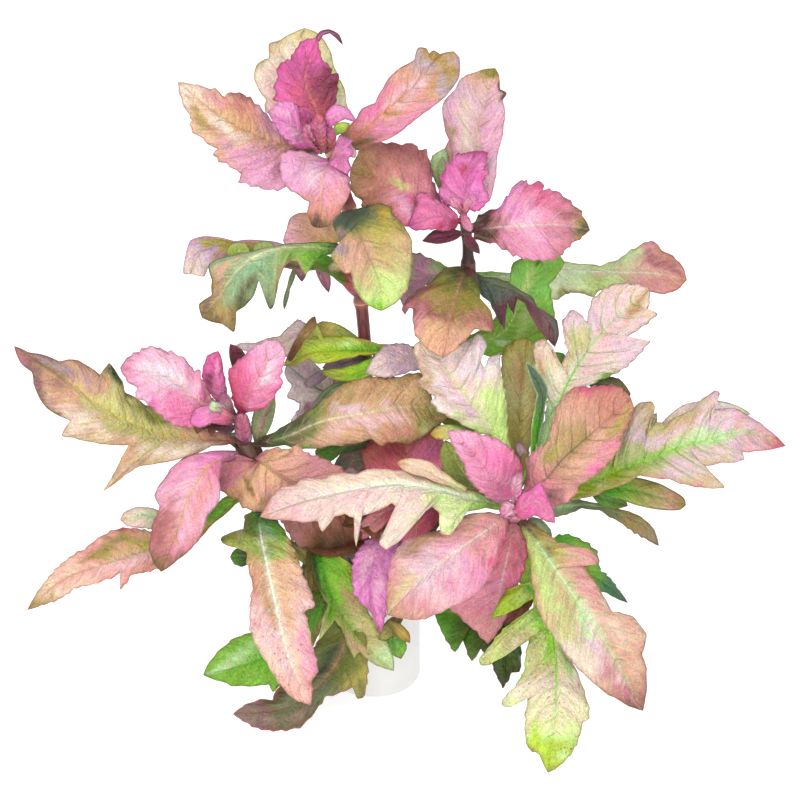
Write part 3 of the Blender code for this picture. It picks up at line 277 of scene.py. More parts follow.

# %% [markdown]
# A leaf is listed as its stem, the row where it leaves the stem, its midrib with distances
# ahead, and the corners of its left and right edge from root to tip. The corners are the lobes
# and notches that can be told apart. Teeth finer than that come from the edge formula.
# Rows and columns are those of the 800 by 800 view. The other fields say how far the blade
# leans, the length and depth of its teeth, and how puffed, crumpled, arched or folded it is.

# %% The leaves
LEAVES = read_table("""
a_left: stem a; row 150; tone pink; lean .2; teeth 14 3.4; crumple .7; midrib 280,144,3 225,118,7 178,82,8;
 left 285,168 290,186 272,190 257,187 239,181 242,173 228,165 213,155 218,150 200,137 188,125 193,120
  182,103; right 283,137 262,110 245,95 230,92 225,97 215,90 200,86
a_front: stem a; row 156; tone pink; lean -.3; teeth 14 2.2; crumple .7;
 midrib 323,172,10 321,205,15 319,228,17;
 left 340,134 353,141 348,147 355,153 348,158 351,168 348,175 351,190 345,203 340,212 328,226;
 right 300,151 281,153 280,175 287,186 300,196 309,202 308,215 312,226
a_back: stem a; row 140; tone pale; teeth 22 1; midrib 310,110,-12 300,70,-22 305,28,-31;
 left 265,112 266,100 258,88 254,79 256,65 269,58 269,44 280,40 292,33;
 right 347,115 346,98 342,82 338,78 334,65 326,42 315,32
a_up: stem a; row 138; tone magenta; teeth 9 2.4; puff .9; crumple .9;
 midrib 318,115,-2 305,80,-8 317,38,-15;
 left 288,105 273,100 276,92 273,85 278,80 277,68 283,62 290,60 299,45 304,40;
 right 335,103 337,88 339,73 332,75 330,66 322,60 319,48
a_young: stem a; row 144; tone magenta; lean -.1; teeth 7 2.2; puff 1.2; crumple 1.4; spacing 5;
 midrib 300,130,10 268,112,14; left 310,150 298,150 288,140 281,135 273,122;
 right 318,118 300,108 290,101 280,102
a_right: stem a; row 149; tone pink; lean .3; teeth 26 1; puff .8;
 midrib 352,139,-4 385,112,-8 420,80,-13 440,54,-16;
 left 357,118 362,108 375,103 383,88 388,78 404,66 414,60 418,48 427,48 429,54 433,50;
 right 360,150 372,144 395,136 408,125 425,112 447,95 460,75 459,58 454,51
a_lower_front: stem a; row 207; tone olive; teeth 20 1.2;
 midrib 356,225,6 368,255,12 380,285,16 381,311,17;
 left 365,208 380,203 391,208 392,215 400,222 408,232 412,243 411,270 407,290 396,303;
 right 340,212 332,222 340,240 337,250 330,255 345,274 351,272 356,292 368,305
a_lower_left: stem a; row 246; tone green; teeth 24 1; puff .9;
 midrib 335,249,-4 300,247,-2 262,253,2 240,268,5 220,295,7 202,318,8;
 left 320,256 313,262 305,276 298,262 290,262 283,267 278,283 274,304 270,310 267,305 268,290 267,278
  262,276 258,281 253,297 236,312 234,332 222,324;
 right 300,243 275,246 250,252 215,260 208,265 212,280 212,295 199,304
a_lower_back: stem a; row 232; tone pink; lean .3; teeth 20 .8; midrib 333,241,-18 310,236,-25 283,241,-28;
 left 320,250 300,250 287,247; right 329,222 320,214 298,213 290,218 287,228
a_arched: stem a; row 301; tone lilac; teeth 30 0;
 midrib 357,291,-8 346,277,-7 333,268,-10 315,262,-13 260,250,-16 215,246,-16 200,252,-15 192,274,-13;
 left 352,295 343,285 332,276 318,270 300,270 285,268 250,264 215,263 208,268 204,277;
 right 358,282 350,271 339,261 325,255 290,246 262,240 235,241 203,236 190,240 185,258 183,274
b_left: stem b; row 224; tone salmon; teeth 14 2.8; puff .9; crumple .6;
 midrib 425,205,-19 400,185,-21 350,172,-24;
 left 438,222 407,227 393,215 391,207 378,204 363,207 362,200 352,193;
 right 441,200 433,182 429,160 425,149 418,150 414,143 402,145 388,143 376,142 360,150
b_back: stem b; row 212; tone pale; teeth 26 1; midrib 474,180,-26 478,130,-34 485,98,-40 495,68,-44;
 left 455,175 443,160 444,150 449,140 443,120 443,102 455,90 460,79 475,72;
 right 490,200 495,180 497,155 504,125 505,110 503,100 507,93 500,90 499,75
b_up: stem b; row 214; tone magenta; teeth 6.5 2.4; puff 1.1; crumple 1.1;
 midrib 466,195,-20 470,170,-24 475,151,-27;
 left 445,205 438,193 442,185 439,177 446,170 444,166 450,163 452,155 462,154;
 right 478,212 490,198 485,190 483,180 490,170 484,170 488,152
b_young: stem b; row 221; tone magenta; teeth 6 1.6; puff .9; crumple .7; midrib 440,215,-12 408,226,-8;
 left 455,230 430,229 415,231; right 458,215 441,203 430,198 425,193 416,194 418,203
b_right: stem b; row 232; tone pink; teeth 12 3.6; midrib 490,228,-18 520,226,-16 560,225,-14 590,230,-12;
 left 472,225 481,214 498,208 504,205 506,195 510,201 513,185 527,179 524,188 541,180 543,190 557,191
  568,200 581,213; right 474,238 481,241 495,243 510,253 525,259 553,260 563,254 567,247 577,240
b_lower_front: stem b; row 263; tone olive; lean .3; teeth 18 1.2; midrib 461,280,-8 450,320,10 443,358,24;
 left 475,270 478,280 480,300 490,310 494,322 492,332 475,328 460,345;
 right 445,268 430,283 408,298 403,306 413,308 415,335 428,350
b_lower_right: stem b; row 272; tone teal; teeth 20 1;
 midrib 490,284,-14 515,292,-10 535,308,-6 550,325,-4 555,347,0;
 left 484,277 500,279 520,290 533,298 537,307 557,320 559,335;
 right 482,296 490,302 505,330 500,300 508,302 514,315 514,296 525,303 532,318 549,341
b_lower_left: stem b; row 268; tone green; midrib 440,275,-24 405,262,-25;
 left 446,281 430,284 412,288 405,316 400,290; right 450,269 430,258 412,252
b_low_green: stem b; row 345; tone leafgreen; lean .1; teeth 14 1.8;
 midrib 500,335,-24 522,300,-27 538,260,-29; left 488,328 500,312 502,295 510,280 513,262 525,258;
 right 490,357 510,353 530,345 545,345 555,320 552,300 549,285 565,262 558,254
b_low_right: stem b; row 275; tone green; teeth 16 2;
 midrib 495,277,-36 545,271,-45 620,272,-49 660,274,-51 687,280,-51;
 left 510,273 545,262 580,264 600,266 618,260 635,248 652,240 662,250 680,262;
 right 500,281 540,284 548,299 560,299 566,293 580,292 593,297 600,290 620,285 650,292 672,293
c_left: stem c; row 441; tone olive; teeth 24 1.2;
 midrib 200,438,22 150,430,24 110,412,26 60,375,26 14,346,24;
 left 212,446 190,455 165,462 140,465 125,475 103,491 112,478 120,462 129,445 105,444 75,438 61,436
  70,421 47,408 40,400 32,372 20,362;
 right 214,431 165,412 145,405 125,392 120,378 109,363 100,375 78,360 60,361 28,352
c_young_left: stem c; row 424; tone pink; teeth 11 3.2; puff .9; crumple .7;
 midrib 205,405,24 165,375,26 120,368,26;
 left 224,423 200,426 175,426 160,415 148,403 138,398 134,392 140,388 128,382;
 right 212,398 203,380 198,368 195,372 184,358 165,350 150,346 142,350 128,357
c_young_up: stem c; row 420; tone magenta; teeth 8 1.8; puff 1.2; crumple 1.6; spacing 4;
 midrib 222,395,18 215,370,15 218,351,14; left 213,398 208,390 202,378 203,367 208,355;
 right 228,400 226,385 223,370 221,356
c_young_right: stem c; row 418; tone pink; teeth 10 2.4; puff .9; crumple .6;
 midrib 242,405,22 262,372,20 278,340,16; left 234,405 230,385 227,374 235,363 245,355 255,346 265,340;
 right 250,412 265,408 280,388 284,383 280,377 286,352
c_right: stem c; row 446; tone olive; lean .3; teeth 22 1.6;
 midrib 285,437,19 320,422,18 360,414,16 425,408,12 449,416,12;
 left 275,432 295,420 315,407 330,395 345,384 365,378 400,377 420,372 433,400;
 right 285,445 300,449 330,446 372,439 383,447 388,441 410,443 435,427
c_front_left: stem c; row 450; tone pink; teeth 26 1.4; midrib 210,465,32 190,495,38 175,535,42 161,572,44;
 left 222,462 219,480 220,500 207,515 204,528 195,545 180,558;
 right 205,452 183,457 163,480 154,495 160,506 149,545 152,560
c_front_right: stem c; row 456; tone salmon; lean -.3; teeth 12 3; crumple .7;
 midrib 262,465,25 300,490,24 340,512,21 372,530,18;
 left 266,450 277,447 292,452 297,443 305,452 345,470 374,500;
 right 235,455 208,461 218,478 220,490 236,500 245,509 262,512 281,520 297,545 305,548 365,540
c_low_left: stem c; row 478; tone peach; teeth 11 2; puff .8;
 midrib 235,500,22 205,530,28 165,545,32 110,562,36 65,578,38 27,610,40;
 left 236,504 212,524 192,546 160,568 132,574 120,590 121,573 105,580 75,588 60,599 42,605;
 right 230,494 207,512 175,528 150,531 120,528 100,537 85,549 70,557 52,573
mid_green: stem b; row 356; tone leafgreen; teeth 20 .8;
 midrib 415,353,-15 381,350,-8 340,350,-1 310,353,3 284,366,4;
 left 375,355 360,355 340,360 318,364 308,359 298,365;
 right 379,344 345,336 320,337 310,336 318,330 313,316 305,325 295,343 288,355
mid_oval: stem b; row 362; tone lilac; teeth 8 1; midrib 415,357,-6 390,362,2 365,373,5;
 left 410,371 395,376 380,377; right 414,350 408,344 385,345 378,352
mid_lilac: stem a; row 400; tone lilac; teeth 18 2; midrib 345,398,-14 320,390,-16 300,375,-18 287,364,-18;
 left 335,410 318,412 296,440 300,402 287,398 292,385 284,374;
 right 350,385 345,375 330,380 335,362 322,372 308,355 296,358
hanging_pink: stem c; row 500; tone peach; teeth 13 2;
 midrib 262,514,19 261,535,31 266,560,44 276,605,56 290,660,68 311,705,78;
 left 276,519 292,545 303,575 315,605 304,612 312,645 318,672 312,680;
 right 245,515 244,533 238,539 227,536 220,538 222,543 238,548 246,550 253,585 250,630 268,665 292,698
hanging_green: stem c; row 542; tone leafgreen; teeth 18 1.4;
 midrib 321,557,22 330,590,30 345,620,36 365,645,42 394,671,50;
 left 336,552 352,566 356,592 370,615 393,655;
 right 311,552 313,572 328,605 319,640 334,620 342,628 354,658 360,652 372,663
hanging_olive: stem c; row 566; tone darkgreen; teeth 13 2.2;
 midrib 350,583,21 350,625,36 335,665,46 290,705,58 233,714,62;
 left 364,610 366,645 368,662 364,698 357,698 354,687 325,697 300,728 262,730 245,722;
 right 335,610 322,635 305,665 276,690 273,700 258,700 240,708
hanging_pale: stem c; row 560; tone leafgreen; teeth 14 1.6;
 midrib 328,590,22 300,635,32 255,660,40 203,675,44; left 325,615 305,660 272,692 269,684 235,686 220,681;
 right 315,590 290,615 250,633 235,638 212,658
d_young: stem d; row 500; tone pink; lean 0; teeth 9 2.4; puff .9; crumple .6;
 midrib 495,480,45 470,450,44 447,431,42; left 500,503 489,499 466,475 465,465 458,455;
 right 521,484 522,465 512,450 500,440 480,434 465,430
d_up_right: stem d; row 494; tone salmon; teeth 11 2.4; puff .8;
 midrib 545,480,38 562,460,38 590,435,36 631,398,30;
 left 528,472 525,460 550,440 553,420 562,397 575,387 590,387 618,386;
 right 548,508 570,500 580,485 600,470 621,447 620,438 634,410
d_right: stem d; row 500; tone pale; teeth 20 1.2;
 midrib 560,492,32 600,478,31 640,462,30 700,442,26 750,432,22 786,446,20;
 left 580,477 605,462 618,445 625,422 637,404 652,401 655,407 641,437 655,422 665,424 690,411 715,390
  720,393 711,410 735,408 755,420;
 right 565,500 590,497 603,491 622,484 640,475 668,479 705,488 725,488 716,478 702,466 722,463 745,460
  742,452
d_back_left: stem d; row 493; tone pale; teeth 14 2.6; midrib 502,440,25 475,405,21 450,375,16 430,340,10;
 left 490,436 455,420 440,412 431,402 435,397 417,382 423,378 413,345;
 right 512,447 508,430 500,370 499,353 492,356 484,368 480,362 487,342 480,334 460,345
d_back_brown: stem d; row 490; tone olive; midrib 520,440,14 521,400,5 528,338,-8;
 left 510,440 504,410 502,380 503,350 515,340; right 530,445 537,420 537,390 536,345
d_back_right: stem d; row 489; tone pale; teeth 13 2.2;
 midrib 545,445,22 560,400,13 575,370,6 600,335,0 650,288,-8;
 left 535,450 545,420 548,400 536,370 534,342 545,338 560,366 568,352 562,320 574,309 587,322 592,300
  612,284 635,284;
 right 545,455 553,430 560,405 575,390 600,380 625,368 650,341 640,340 612,352 630,335 658,313 648,310
d_finger: stem d; row 510; tone peach; teeth 26 1;
 midrib 470,498,42 440,490,44 400,484,46 340,492,44 300,502,40 260,517,36;
 left 485,508 462,512 455,520 450,535 441,534 439,512 432,506 420,515 400,540 386,550 379,543 398,508
  392,503 372,512 360,516 356,547 354,517 345,514 334,516 322,532 318,521 285,520;
 right 485,496 455,487 432,481 410,471 397,471 382,469 367,470 357,474 330,475 322,479 300,479 296,484
  277,490 265,508
d_front_left: stem d; row 508; tone pink; teeth 16 1.6; midrib 490,528,46 455,552,54 415,585,60 387,615,62;
 left 508,522 502,545 490,575 480,590 445,610 420,620;
 right 498,514 475,513 458,518 455,529 405,540 391,560
d_front: stem d; row 512; tone pink; teeth 22 1.2; midrib 535,540,48 570,590,62 610,650,76 643,711,84;
 left 541,530 560,543 575,546 590,549 599,557 599,564 592,565 583,562 590,575 603,596 612,612 632,616
  647,635 642,653 647,675; right 526,540 530,560 540,615 560,645 590,680 620,701
d_front_low: stem d; row 522; tone leafgreen; teeth 14 1.8;
 midrib 531,553,41 541,590,46 550,625,56 556,680,70 554,730,83 548,773,92;
 left 535,550 547,582 553,610 565,650 582,685 590,718 583,722 575,748 562,764;
 right 519,566 519,582 530,588 506,590 491,620 533,598 534,610 505,628 490,646 479,660 480,666 492,663
  512,650 530,637 524,672 516,686 502,700 503,707 510,707 520,698 531,688 525,720 527,747 540,755
d_grey: stem d; row 506; tone teal; midrib 555,508,28 590,505,24 620,514,22 645,525,22 659,546,24;
 left 560,498 590,502 615,508 640,516 654,529; right 556,517 582,508 600,510 620,522 646,539
d_dark: stem d; row 532; tone darkgreen; teeth 9 3; midrib 545,548,33 590,575,35 628,603,35;
 left 553,538 565,534 575,537 590,545 597,552 600,570 612,580 618,589;
 right 550,570 570,585 590,590 605,592
e_back: stem e; row 497; tone crimson; teeth 15 2.6; puff .8; midrib 408,475,12 402,432,3;
 left 385,490 366,470 361,452 372,440 388,433; right 432,490 445,470 453,457 445,447 440,430 420,428
e_left: stem e; row 516; tone magenta; teeth 9 3.6; puff .9; crumple .7;
 midrib 385,545,30 372,580,40 381,634,52; left 398,545 391,565 388,595 384,622;
 right 362,545 354,557 352,572 354,595 371,612
e_right: stem d; row 514; tone pink; teeth 12 2.4; midrib 511,540,42 502,580,44 488,644,47;
 left 522,533 527,545 526,562 519,582 505,620; right 490,560 470,585 445,602 458,615 475,630
e_low: stem e; row 510; tone crimson; midrib 380,518,27 342,526,32; left 385,528 376,540 362,529;
 right 383,508 365,505 350,510
e_dark: stem d; row 545; tone darkgreen; teeth 12 1.6; midrib 500,618,28 470,614,28 434,613,28;
 left 520,640 520,672 512,672 503,688 490,657 480,648 472,662 463,638 455,653;
 right 500,600 470,600 445,605
""")
print("leaves listed:", len(LEAVES))

# %% [markdown]
# Leaves of this plant redden in strong light and green in shade, so one leaf can run from a
# green stalk through cream to a pink or brown tip. Each skin is listed as a run of colours
# from stalk to tip, then softer patches at a share along and a share across the leaf, then
# how strongly the midrib, the side veins, the rim and the flecks show.

# %% Colours and the skin of each leaf
COLOURS = dict(
    cream="#f2e6b8", shell="#f4dcca", blush="#f2bfc2", peach="#f2b692", peachpale="#f6d2b6",
    peachpink="#f3b0a2", peachtan="#deae80", sand="#d8c688",
    paleyellow="#e0e290", mintcream="#ecf6ca", mintwhite="#f4fce2", mintpale="#c6e8a8",
    mint="#a8e098", mintgreen="#86d058", pinkpale="#f6b4d0", pink="#ea92b4", pinkbright="#f07aae",
    lilacpink="#e29cc2", lilacpale="#e8c2d2", lilacwhite="#f4e0ea", hotpink="#e661ac", orchid="#ec88cc",
    orchidpink="#ec82be", magenta="#c44a90", rose="#dc6080", rosebright="#e6657f",
    crimson="#bc2e58", crimsonpink="#da5a88", wine="#781e40", maroon="#581c24", plum="#684458",
    mauve="#b87696", mauvegrey="#a28896", lilacgrey="#baa4b0", lilac="#cca4c0",
    mauvebrown="#7f5658", dustyrose="#c87686", dustypink="#e0969c", rosetan="#ce8672",
    pinktan="#dca68c", rosebrown="#a85a60", brownpink="#c07266", brick="#b44f3e",
    brickred="#ac2e3e", brown="#7e4a20", umber="#463210", olivebrown="#7c6022", tan="#c49668",
    olivetan="#ac8e4e", khaki="#b0a44a", palekhaki="#cac280", olive="#8a8228",
    oliveshade="#5a541e", deepolive="#464818", olivegreen="#6c7a20", yellowolive="#a8a830",
    yellowgreen="#b6ce28", limeyellow="#c0e02a", lime="#92d828", limepale="#cce888",
    green="#58ae18", leafgreen="#80ba2c", khakigreen="#a4b64a", deepgreen="#286814",
    bottle="#1e4014", sagegreen="#a0be72", sage="#90a874", seafoam="#7cb084", seagreen="#4c8856",
    teal="#3e8860", slate="#566a5a", slategreen="#647a50", yellow="#dcd030", ochre="#b88c26",
    yellowochre="#c8a634", yellowtan="#dcc45c", orange="#dc8e3a", salmon="#de826e",
    salmonpink="#ea969a", greybrown="#8c7a6a")
